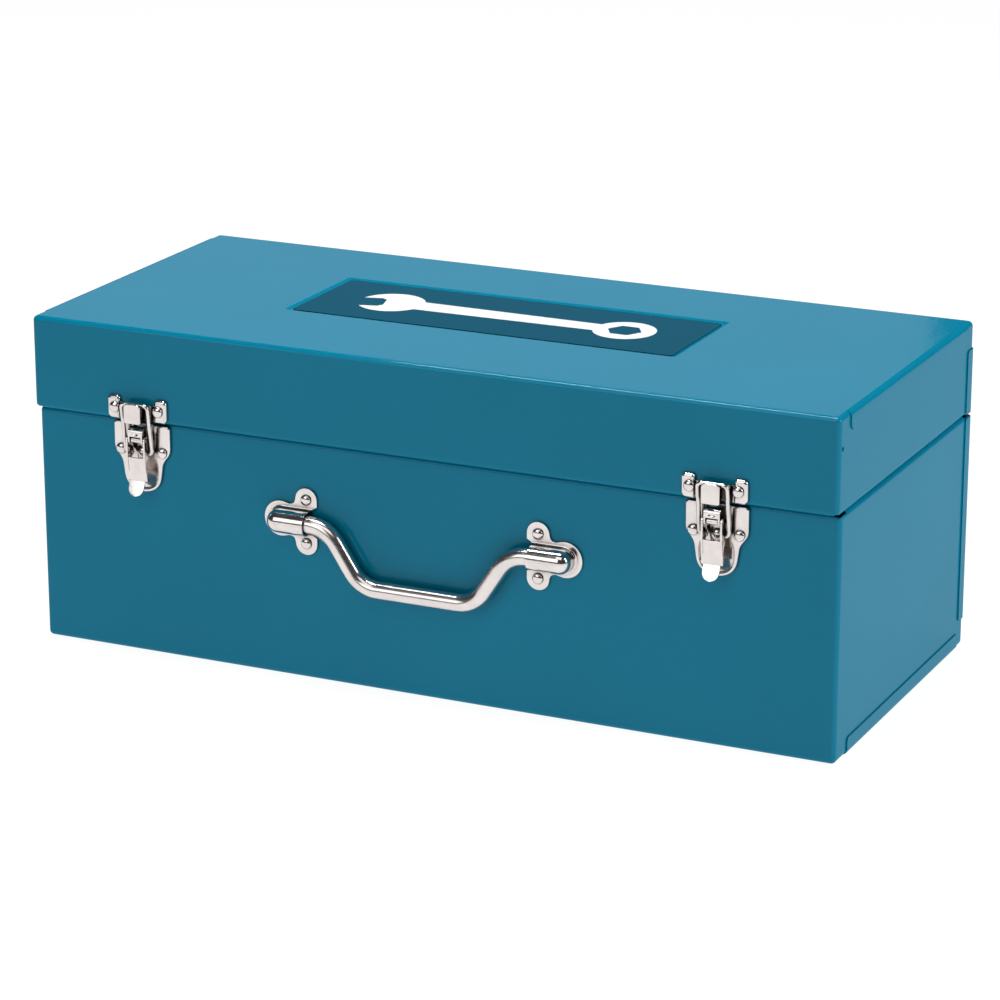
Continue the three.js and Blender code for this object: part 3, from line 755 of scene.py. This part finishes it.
def spanner_jaw():
    """The open jaw of the spanner about its own centre, its mouth to the left and skewed."""
    floor = -JAW + MOUTH_DEPTH
    a = math.asin(MOUTH / JAW)
    head = []
    start = -180 + math.degrees(a)
    for angle in np.radians(np.linspace(start, 180 - math.degrees(a), 40)):
        head.append((JAW * math.cos(angle), JAW * math.sin(angle)))
    head += [(floor - 3, MOUTH), (floor, MOUTH - 3), (floor, -MOUTH + 3), (floor - 3, -MOUTH)]
    turn = math.radians(MOUTH_SKEW)
    return [
        (x * math.cos(turn) - y * math.sin(turn), x * math.sin(turn) + y * math.cos(turn))
        for x, y in head
    ]


def make_label():
    plate = (LABEL_LOW[0], LABEL_TOP[0], LABEL_LOW[1], LABEL_TOP[1])
    outline = tidy_outline(rounded_rect(*plate, LABEL_PLATE_CORNER))
    high = LABEL_TOP[2] - PRINT_ROOM
    piece(
        "label_panel",
        *label_block(LABEL_LOW[2], high, outline),
        label_print,
        "lid",
        stands_for=["lid_label"],
        slot="label_print",
    )
    floor = high - INK_DEPTH
    ink = high + INK_DEPTH

    def stood(points):
        return loft([[(x, y, z) for x, y in points] for z in (floor, ink)])

    jaw = stood(tidy_outline([(x + SPANNER_LEFT, y + LABEL_Y) for x, y in spanner_jaw()]))
    bar = stood([
        (SPANNER_LEFT + SHAFT_START, LABEL_Y - SHAFT),
        (SPANNER_RIGHT - SHAFT_START, LABEL_Y - SHAFT * SHAFT_TAPER),
        (SPANNER_RIGHT - SHAFT_START, LABEL_Y + SHAFT * SHAFT_TAPER),
        (SPANNER_LEFT + SHAFT_START, LABEL_Y + SHAFT),
    ])
    disc = stood(tidy_outline(arc((SPANNER_RIGHT, LABEL_Y), RING, 0, 354, 59)))
    hexagon = [
        (
            SPANNER_RIGHT + HEXAGON * math.cos(math.radians(a)),
            LABEL_Y + HEXAGON * math.sin(math.radians(a)),
        )
        for a in range(0, 360, 60)
    ]
    hole = loft([[(x, y, z) for x, y in hexagon] for z in (floor - 1, ink + 1)])
    solid_piece("label_spanner", [jaw, bar, disc], white_print, "lid", [hole], slot="label_print")


make_label()


# ---------- rivets ----------

RIVET_HEAD = 3.2
RIVET_DOME = 1.9
RIVET_SHANK = 1.6
RIVET_TAIL = 2.6


def rivet_profile(grip):
    profile = [(0.01, -grip - 1.0), (RIVET_TAIL - 0.3, -grip - 1.0), (RIVET_TAIL, -grip - 0.7)]
    profile += [(RIVET_TAIL, -grip), (RIVET_SHANK, -grip), (RIVET_SHANK, 0.0), (RIVET_HEAD - 0.25, 0.0)]
    profile += [(RIVET_HEAD, 0.1), (RIVET_HEAD, 0.35)]
    rim = 0.35
    for a in np.radians(np.linspace(8, 90, 10)):
        profile.append((max(RIVET_HEAD * math.cos(a), 0.01), rim + (RIVET_DOME - rim) * math.sin(a)))
    return profile


def rivet(node, look, body, slot):
    """A domed rivet in a CAD rivet's place; its head faces the way the CAD rivet's does."""
    low, high = box_mm(node)
    middle = (low + high) / 2
    faces_front = middle[1] < 0
    seat = low[1] + RIVET_DOME if faces_front else high[1] - RIVET_DOME
    grip = (high[1] - low[1]) - RIVET_DOME - 1.0
    points, faces = lathe_y(rivet_profile(grip), 28)
    if not faces_front:
        points = [(x, -y, z) for x, y, z in points]
    points = [(x + middle[0], y + seat, z + middle[2]) for x, y, z in points]
    return piece(f"{node}_head", points, faces, look, body, stands_for=[node], slot=slot)


def rivets_of(word, look, body, slot):
    for name in sorted(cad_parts):
        if word in name:
            rivet(name, look, body, slot)


rivets_of("handle_rivet", press_nickel, "base", "pressed_nickel")
rivets_of("latch_rivet", press_nickel, "base", "pressed_nickel")
rivets_of("keeper_rivet", press_nickel, "lid", "pressed_nickel")
rivets_of("hinge_base_rivet", zinc, "base", "zinc_steel")
rivets_of("hinge_lid_rivet", zinc, "lid", "zinc_steel")


# ---------- carrying handle ----------

ROD_Y = FRONT - HANDLE_OUT
ROD_END = ROD_HIGH[0]
ROD_SHOULDER = 57.0
ROD_KNEE = 35.5
ROD_DROP = 33.0
ROD_BEND = 19.4
SOCKET_INNER = ROD_RADIUS + 0.65
SOCKET_OUTER = SOCKET_INNER + 1.0
SOCKET_MOUTH = 69.8
SOCKET_END = 88.0
PLATE_OUT = SEAT + 1.2
PLATE_ROUND_X = 89.0
PLATE_ROUND = 10.4
EAR_X = 72.6
EAR_Z = 13.0
EAR_RADIUS = 6.8
BRACKET_EDGE = 65.8
CUT_INNER = 7.1
CUT_OUTER = 9.4
SOCKET_FOOT = 1.5


def make_rod():
    corners = [
        (-ROD_END + 0.6, ROD_Y, HANDLE_Z),
        (-ROD_SHOULDER, ROD_Y, HANDLE_Z),
        (-ROD_KNEE, ROD_Y, HANDLE_Z - ROD_DROP),
        (ROD_KNEE, ROD_Y, HANDLE_Z - ROD_DROP),
        (ROD_SHOULDER, ROD_Y, HANDLE_Z),
        (ROD_END - 0.6, ROD_Y, HANDLE_Z),
    ]
    route = rounded_route(corners, ROD_BEND, steps=16)
    path = []
    for a, b in zip(route, route[1:]):
        pieces = max(1, int((b - a).length / 6))
        path += [a.lerp(b, k / pieces) for k in range(pieces)]
    path.append(route[-1])
    piece(
        "handle_bar",
        *tube(path, ROD_RADIUS, sides=40),
        rod_nickel,
        "handle",
        stands_for=["handle_rod"],
        slot="bright_nickel",
    )


def bracket_outline():
    """The right bracket's plate, from the upper mouth corner round its end to the lower one."""
    points = [(BRACKET_EDGE, CUT_OUTER)]
    ear = arc((EAR_X, EAR_Z), EAR_RADIUS, 180, 12, 20)
    neck = bezier(ear[-1], (EAR_X + EAR_RADIUS + 0.4, EAR_Z - 2.4), (80.2, 9.7), (83.4, 9.35), 6)
    end = arc((PLATE_ROUND_X, 0), PLATE_ROUND, 104, 0, 20)
    upper = points + ear + neck + end
    return upper + [(x, -z) for x, z in upper[::-1][1:]]


def foot_start(d):
    """Where the socket's surface begins at a distance d from its middle line: the mouth, or the V cut."""
    if d <= CUT_INNER:
        return SOCKET_MOUTH
    return SOCKET_MOUTH - (d - CUT_INNER) * (SOCKET_MOUTH - BRACKET_EDGE) / (CUT_OUTER - CUT_INNER)


def stadium(d):
    """A line round the socket at a distance d from its middle line, from lower to upper mouth."""
    start = foot_start(d)
    stops = [start + (SOCKET_END - start) * (t ** 0.8) for t in np.linspace(0, 1, 15)]
    points = [(x, -d) for x in stops]
    points += arc((SOCKET_END, 0), d, -90, 90, 20)[1:-1]
    return points + [(x, d) for x in stops[::-1]]


CRIMP_X = 74.3
CRIMP_ANGLE = 30                # degrees below level
CRIMP_DEPTH = 0.6
CRIMP_SIZE = 2.2
BRACKET_SHEET = 1.0
BRACKET_EDGE_ROUND = 0.32


def make_bracket(side_name, side):
    reach = SOCKET_OUTER + SOCKET_FOOT
    profile = [(0.02, HANDLE_OUT + SOCKET_OUTER)]
    for a in np.radians(np.linspace(6, 90, 15)):
        profile.append((SOCKET_OUTER * math.sin(a), HANDLE_OUT + SOCKET_OUTER * math.cos(a)))
    profile.append((SOCKET_OUTER, (HANDLE_OUT + PLATE_OUT) / 2))
    for a in np.radians(np.linspace(0, 90, 6)):
        profile.append((reach - SOCKET_FOOT * math.cos(a), PLATE_OUT + SOCKET_FOOT * (1 - math.sin(a))))
    rings = []
    for d, out in profile:
        ring = []
        for x, z in stadium(d):
            away = (x - CRIMP_X) ** 2
            angle = math.degrees(math.atan2(-z, max(out - HANDLE_OUT, 0.01)))
            away += (math.radians(angle - CRIMP_ANGLE) * SOCKET_OUTER) ** 2
            dip = CRIMP_DEPTH * math.exp(-away / (CRIMP_SIZE / 2) ** 2) if out > HANDLE_OUT else 0.0
            dip_z = dip * math.sin(math.radians(angle))
            ring.append((x, -(out - dip * math.cos(math.radians(angle))), z + dip_z))
        rings.append(ring)
    vertices, faces = loft(rings, cap_start=False, cap_end=False, closed=False)
    outline = bracket_outline()
    start = len(vertices)
    vertices += [(x, -PLATE_OUT, z) for x, z in outline]
    last = start - len(rings[-1])
    faces.append(tuple(range(start, start + len(outline))) + tuple(range(last, start)))
    points = [(side * x, y + FRONT, z + HANDLE_Z) for x, y, z in vertices]
    obj = piece(
        f"handle_socket_{side_name}",
        points,
        faces,
        press_nickel,
        "base",
        stands_for=[f"handle_bracket_{side_name}"],
        slot="pressed_nickel",
    )
    face_front(obj)
    sheet_and_edges(obj, BRACKET_SHEET, BRACKET_EDGE_ROUND)


def face_front(obj):
    """Turns an open pressing's faces to the front."""
    mesh = obj.data
    if sum(p.normal.y * p.area for p in mesh.polygons) > 0:
        mesh.flip_normals()


make_rod()
for side_name, side in SIDES.items():
    make_bracket(side_name, side)


# ---------- draw latches ----------
# Outlines are (x, z), with z from the seam; out is from the base's front.

PAN_OUT = SEAT + 2.4
PRESSED = 1.0
PIVOT_OUT, PIVOT_Z = 7.6, -10.2
BAIL_OUT, BAIL_Z = 5.6, -18.5
HOOK_OUT, HOOK_Z = 10.0, 11.4
BAIL_HALF = 8.6
WIRE = 1.25
KEEPER_SEAT = 5.0 + SEAT
TONGUE_OUT = 13.2
LATCH_HALF, LATCH_TOP = 18.5, -1.5
DISH_HALF = 7.4
SHOULDER_RISE = 0.15            # the side wings stand this much past the plate's rim
COLUMN_HALF = 4.7
COLUMN_INSIDE = COLUMN_HALF - PRESSED
COLUMN_ROUND = 2.6
DIMPLE_CENTRE, DIMPLE_RADII = (0.0, -12.3, -5.9), (4.0, 2.75, 2.3)
CHEEK_INNER, CHEEK_OUTER = 5.1, 6.2
LEVER_SHEET = 1.1
TAB_HALF, TAB_ROUND_Z = 4.9, -38.2
SLEEVE, SLEEVE_HALF = 1.9, 3.4
PIN_RADIUS, PIN_HALF = 1.2, 6.1
PIN_CHAMFER = 0.3
PIN_CLEARANCE = 0.3             # of the lever's holes round its pin and round the bail
BAIL_END = 4.2
BAIL_BEND = 2.6


def latch_outline():
    wide, top = LATCH_HALF, LATCH_TOP
    points = arc((wide - 2.2, top - 2.2), 2.2, 90, 0, 7)
    points += [(wide, -15.5)]
    points += bezier((wide, -15.5), (wide, -21), (13.2, -22), (13, -28), 10)
    points += bezier((13, -28), (12.7, -30), (12.4, -32), (12.2, -33.5), 3)
    points += bezier((12.2, -33.5), (11.2, -40), (6, -43), (0, -43), 10)
    return points + [(-x, z) for x, z in points[::-1][1:]]


def dish_outline():
    """The dished floor, from its upper right corner round the bottom to its upper left one."""
    points = [(DISH_HALF, LATCH_TOP), (DISH_HALF, -22)]
    points += bezier((DISH_HALF, -22), (9.8, -24), (10.2, -27), (9.6, -33), 8)
    points += bezier((9.6, -33), (8.8, -38.2), (5, -40.4), (0, -40.4), 10)
    return points + [(-x, z) for x, z in points[::-1][1:]]


def wing_outline():
    """The right shoulder, from its upper outer corner round its foot to the dish's edge."""
    points = arc((16.0, -4.0), 2.5, 90, 0, 7)
    wide = LATCH_HALF
    points += [(wide, -15.5)]
    points += bezier((wide, -15.5), (wide, -20.4), (14.0, -21.8), (12.2, -25.5), 10)
    points += bezier((12.2, -25.5), (10.0, -25.5), (9.2, -23.6), (DISH_HALF, -22), 5)
    return points + [(DISH_HALF, LATCH_TOP)]


def make_latch_plate(side_name, side):
    outer = latch_outline()
    dish = dish_outline()
    wings = outer + dish[::-1]
    raised = cushion(wings, SEAT, PAN_OUT, 1.2)
    right = tidy_outline(wing_outline())
    left = [(-x, z) for x, z in right]
    shoulders = [cushion(wing, SEAT, PAN_OUT + SHOULDER_RISE, 2.3, steps=8) for wing in (right, left)]
    floor = cushion(inset(tidy_outline(outer), 0.35), SEAT, SEAT + PRESSED, 0.2)
    column = rounded_column()
    window = block(-COLUMN_INSIDE, COLUMN_INSIDE, -14, -7.0, -30, -7.9)
    hollow_outline = [(-0.9, -4), (-0.9, -30), (-9.1, -30), (-9.1, -5.4), (-7.8, -4)]
    hollow = extruded_x(hollow_outline, -COLUMN_INSIDE, COLUMN_INSIDE)
    dimple = ball(DIMPLE_CENTRE, DIMPLE_RADII)
    place = (side * LATCH_X, FRONT, SEAM)
    solid_piece(
        f"latch_pressing_{side_name}",
        [moved(part, place) for part in (raised, floor, column, *shoulders)],
        press_nickel,
        "base",
        [moved(window, place), moved(hollow, place), moved(dimple, place)],
        stands_for=[f"latch_plate_{side_name}"],
        slot="pressed_nickel",
        bevel=0.22,
    )


def ball(centre, radii):
    """A squashed ball, its poles along X."""
    rings = []
    for a in np.radians(np.linspace(-90, 90, 15)):
        reach = max(math.cos(a), 0.01)
        turns = np.radians(np.arange(0, 360, 15))
        rings.append([
            (
                centre[0] + radii[0] * math.sin(a),
                centre[1] + radii[1] * reach * math.cos(t),
                centre[2] + radii[2] * reach * math.sin(t),
            )
            for t in turns
        ])
    return loft(rings)


def rounded_column():
    outline = [(-0.6, -3), (-0.6, PIVOT_Z - COLUMN_ROUND)]
    outline += arc((-PIVOT_OUT, PIVOT_Z), COLUMN_ROUND, 270, 180, 8)
    outline += [(-10.2, -5.4)]
    outline += arc((-7.8, -5.4), 2.4, 180, 90, 8)
    return extruded_x(tidy_outline(outline), -COLUMN_HALF, COLUMN_HALF)


def keeper_ear():
    """The right ear of the keeper, from its inner edge round its outer corners."""
    wide, low, high = 19.5, 1.0, 15.0
    points = [(11.2, low)] + arc((wide - 3, low + 3), 3, -90, 0, 8)
    points += arc((wide - 2.8, high - 2.8), 2.8, 0, 90, 8)
    points += [(13.2, high)]
    points += bezier((13.2, high), (11.7, high), (11.2, high - 1.6), (11.2, high - 3.4), 6)
    return points


def make_keeper(side_name, side):
    ear = keeper_ear()
    mirrored = [(-x, z) for x, z in ear]
    out = KEEPER_SEAT + 2.4
    strip = [(12.4, 1.4), (12.4, 11.0), (-12.4, 11.0), (-12.4, 1.4)]
    parts = [cushion(ear, KEEPER_SEAT, out, 2.0, steps=8)]
    parts.append(cushion(mirrored, KEEPER_SEAT, out, 2.0, steps=8))
    parts.append(cushion(strip, KEEPER_SEAT, KEEPER_SEAT + PRESSED, 0.15, steps=2))
    face = tidy_outline(
        arc((4.2, 1.9), 1.2, -90, 0, 5)
        + arc((2.8, 9.7), 2.6, 0, 90, 8)
        + arc((-2.8, 9.7), 2.6, 90, 180, 8)
        + arc((-4.2, 1.9), 1.2, 180, 270, 5)
    )
    parts.append(cushion(face, TONGUE_OUT - PRESSED, TONGUE_OUT, 0.45, steps=5))
    walls = rounded_rect(-TONGUE_OUT + 0.5, -KEEPER_SEAT - 0.5, 1.0, 9.8, 0.9, steps=4)
    for x0, x1 in ((-5.4, -4.4), (4.4, 5.4)):
        parts.append(extruded_x(walls, x0, x1))
    place = (side * LATCH_X, FRONT, SEAM)
    solid_piece(
        f"keeper_pressing_{side_name}",
        [moved(part, place) for part in parts],
        press_nickel,
        "lid",
        stands_for=[f"keeper_{side_name}"],
        slot="pressed_nickel",
        bevel=0.2,
    )


def make_lever(side_name, side):
    cheek = arc((-PIVOT_OUT, PIVOT_Z), COLUMN_ROUND, 0, 180, 12)
    cheek += [(-10.2, -20.5), (-9.3, -29), (-8.2, -29), (-6.6, -24)]
    cheek += arc((-BAIL_OUT, BAIL_Z), 2.4, -81, 18, 8)
    cheek = tidy_outline(cheek)
    spans = ((-CHEEK_OUTER, -CHEEK_INNER), (CHEEK_INNER, CHEEK_OUTER))
    parts = [extruded_x(cheek, x0, x1) for x0, x1 in spans]
    sections = []
    for z, out in ((-20.5, 10.2), (-24.0, 9.8), (-30.0, 9.12), (-34.6, 8.6)):
        t = (-20.5 - z) / 14.1
        half_width = CHEEK_OUTER + 0.15 * t
        sections.append(face_section(z, out, half_width, LEVER_SHEET))
    parts.append(loft(sections))
    sections = []
    for k in range(13):
        t = k / 12
        z = -33.9 - 9.15 * t
        half_width = TAB_HALF
        if z <= TAB_ROUND_Z:
            half_width = math.sqrt(max(TAB_HALF ** 2 - (TAB_ROUND_Z - z) ** 2, 0.04))
        sections.append(face_section(z, 8.4 + 3.9 * t, half_width, LEVER_SHEET, 0.05))
    parts.append(loft(sections))
    holes = [
        extruded_x(arc((-PIVOT_OUT, PIVOT_Z), PIN_RADIUS + PIN_CLEARANCE, 0, 345, 23), -9, 9),
        extruded_x(arc((-BAIL_OUT, BAIL_Z), WIRE + PIN_CLEARANCE, 0, 345, 23), -9, 9),
    ]
    place = (side * LATCH_X, FRONT, SEAM)
    solid_piece(
        f"lever_pressing_{side_name}",
        [moved(part, place) for part in parts],
        press_nickel,
        f"latch_lever_{side_name}",
        [moved(part, place) for part in holes],
        stands_for=[f"lever_{side_name}"],
        slot="pressed_nickel",
        bevel=0.25,
    )


def face_section(z, out, half_width, thickness, crown=0.3):
    """A level cut through the lever's face, slightly crowned."""
    steps = np.linspace(-1, 1, 11)
    front_line = [(half_width * s, -(out - crown * s * s), z) for s in steps]
    back_line = [(half_width * s, -(out - thickness - crown * s * s), z) for s in steps[::-1]]
    return front_line + back_line


def make_pin(side_name, side):
    """The lever's pin, with a thicker sleeve in its middle; half of the profile is mirrored."""
    profile = [(0.01, -PIN_HALF), (PIN_RADIUS - PIN_CHAMFER, -PIN_HALF)]
    profile += [(PIN_RADIUS, PIN_CHAMFER - PIN_HALF), (PIN_RADIUS, -SLEEVE_HALF)]
    profile += [(SLEEVE - 0.25, -SLEEVE_HALF), (SLEEVE, 0.25 - SLEEVE_HALF)]
    profile += [(radius, -along) for radius, along in reversed(profile)]
    points, faces = lathe_y(profile, 24)
    points = [(y + side * LATCH_X, z + FRONT - PIVOT_OUT, x + SEAM + PIVOT_Z) for x, y, z in points]
    piece(
        f"lever_axle_{side_name}",
        points,
        faces,
        rod_nickel,
        "base",
        stands_for=[f"lever_pin_{side_name}"],
        slot="bright_nickel",
    )


def make_bail(side_name, side):
    corners = [
        (-BAIL_END, -BAIL_OUT, BAIL_Z),
        (-BAIL_HALF, -BAIL_OUT, BAIL_Z),
        (-BAIL_HALF, -HOOK_OUT, HOOK_Z),
        (BAIL_HALF, -HOOK_OUT, HOOK_Z),
        (BAIL_HALF, -BAIL_OUT, BAIL_Z),
        (BAIL_END, -BAIL_OUT, BAIL_Z),
    ]
    corners = [(x + side * LATCH_X, y + FRONT, z + SEAM) for x, y, z in corners]
    route = rounded_route(corners, BAIL_BEND, steps=10)
    piece(
        f"bail_wire_{side_name}",
        *tube(route, WIRE, sides=24),
        press_nickel,
        f"latch_bail_{side_name}",
        stands_for=[f"bail_{side_name}"],
        slot="bright_nickel",
    )


for side_name, side in SIDES.items():
    make_latch_plate(side_name, side)
    make_keeper(side_name, side)
    make_lever(side_name, side)
    make_pin(side_name, side)
    make_bail(side_name, side)


# ---------- stop hinges: the CAD nodes' own shapes, with softened edges ----------

HINGE_EDGE = 0.25
HINGE_SHARP_DEGREES = 40

for name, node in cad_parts.items():
    if name.startswith(("hinge_bracket", "hinge_leaf", "hinge_pin")):
        node.data.materials.clear()
        node.data.materials.append(zinc)
        weld = node.modifiers.new("weld", "WELD")
        weld.merge_threshold = LEAST_EDGE * MM
        edge = node.modifiers.new("edge", "BEVEL")
        edge.width = HINGE_EDGE * MM
        edge.segments = 2
        edge.limit_method = "ANGLE"
        edge.angle_limit = math.radians(HINGE_SHARP_DEGREES)


# ---------- studio ----------

def stage_plane(name, size, location, colour, glow):
    """A level sheet of the stage, which gives off light of its own."""
    mesh = bpy.data.meshes.new(name)
    u, v = size[0] / 2, size[1] / 2
    mesh.from_pydata([(-u, -v, 0), (u, -v, 0), (u, v, 0), (-u, v, 0)], [], [(0, 1, 2, 3)])
    obj = bpy.data.objects.new(name, mesh)
    bpy.context.scene.collection.objects.link(obj)
    obj.location = location
    surface = bpy.data.materials.new(name)
    surface.use_nodes = True
    shader = surface.node_tree.nodes["Principled BSDF"]
    shader.inputs["Base Color"].default_value = (*colour, 1)
    shader.inputs["Roughness"].default_value = 0.9
    shader.inputs["Specular IOR Level"].default_value = 0.0
    shader.inputs["Emission Color"].default_value = (1, 1, 1, 1)
    shader.inputs["Emission Strength"].default_value = glow
    mesh.materials.append(surface)


def softbox(name, size, location, target, power):
    light = bpy.data.lights.new(name, "AREA")
    light.shape = "RECTANGLE"
    light.size, light.size_y = size
    light.energy = power
    obj = bpy.data.objects.new(name, light)
    bpy.context.scene.collection.objects.link(obj)
    obj.location = location
    obj.rotation_mode = "QUATERNION"
    obj.rotation_quaternion = (Vector(target) - Vector(location)).to_track_quat("-Z", "Y")


MIDDLE = (0.0, 0.0, 0.1)
stage_plane("floor", (40, 40), (0, 0, -0.0004), colour=(0.15, 0.15, 0.15), glow=0.93)

softbox("key_above", (0.35, 1.0), (-0.3, 0.0, 1.9), MIDDLE, 32)
softbox("side_right", (1.0, 1.2), (2.2, 0.1, 1.2), MIDDLE, 36)
softbox("front_low", (1.7, 1.3), (-0.82, -2.46, 1.25), MIDDLE, 13)
softbox("front_high", (2.5, 1.2), (0.2, -1.8, 2.4), MIDDLE, 13)
softbox("back_low", (2.5, 1.7), (-2.15, 3.4, 1.2), MIDDLE, 11)

world = bpy.data.worlds.new("studio")
world.use_nodes = True
background = world.node_tree.nodes["Background"]
background.inputs["Color"].default_value = (0.97, 0.98, 1.0, 1)
background.inputs["Strength"].default_value = 0.05
bpy.context.scene.world = world
bpy.context.scene.view_settings.view_transform = "Standard"

LENS = 135.25
SENSOR = 36.0
CAMERA_PLACE = (0.8924, -1.9066, 0.7564)
LOOK_AZIMUTH = math.radians(25.139)
LOOK_DOWN = math.radians(17.648)

camera_data = bpy.data.cameras.new("camera")
camera_data.lens = LENS
camera_data.sensor_width = SENSOR
camera = bpy.data.objects.new("camera", camera_data)
bpy.context.scene.collection.objects.link(camera)
camera.location = CAMERA_PLACE
ahead = Vector((
    -math.sin(LOOK_AZIMUTH) * math.cos(LOOK_DOWN),
    math.cos(LOOK_AZIMUTH) * math.cos(LOOK_DOWN),
    -math.sin(LOOK_DOWN),
))
camera.rotation_mode = "QUATERNION"
camera.rotation_quaternion = ahead.to_track_quat("-Z", "Y")
bpy.context.scene.camera = camera
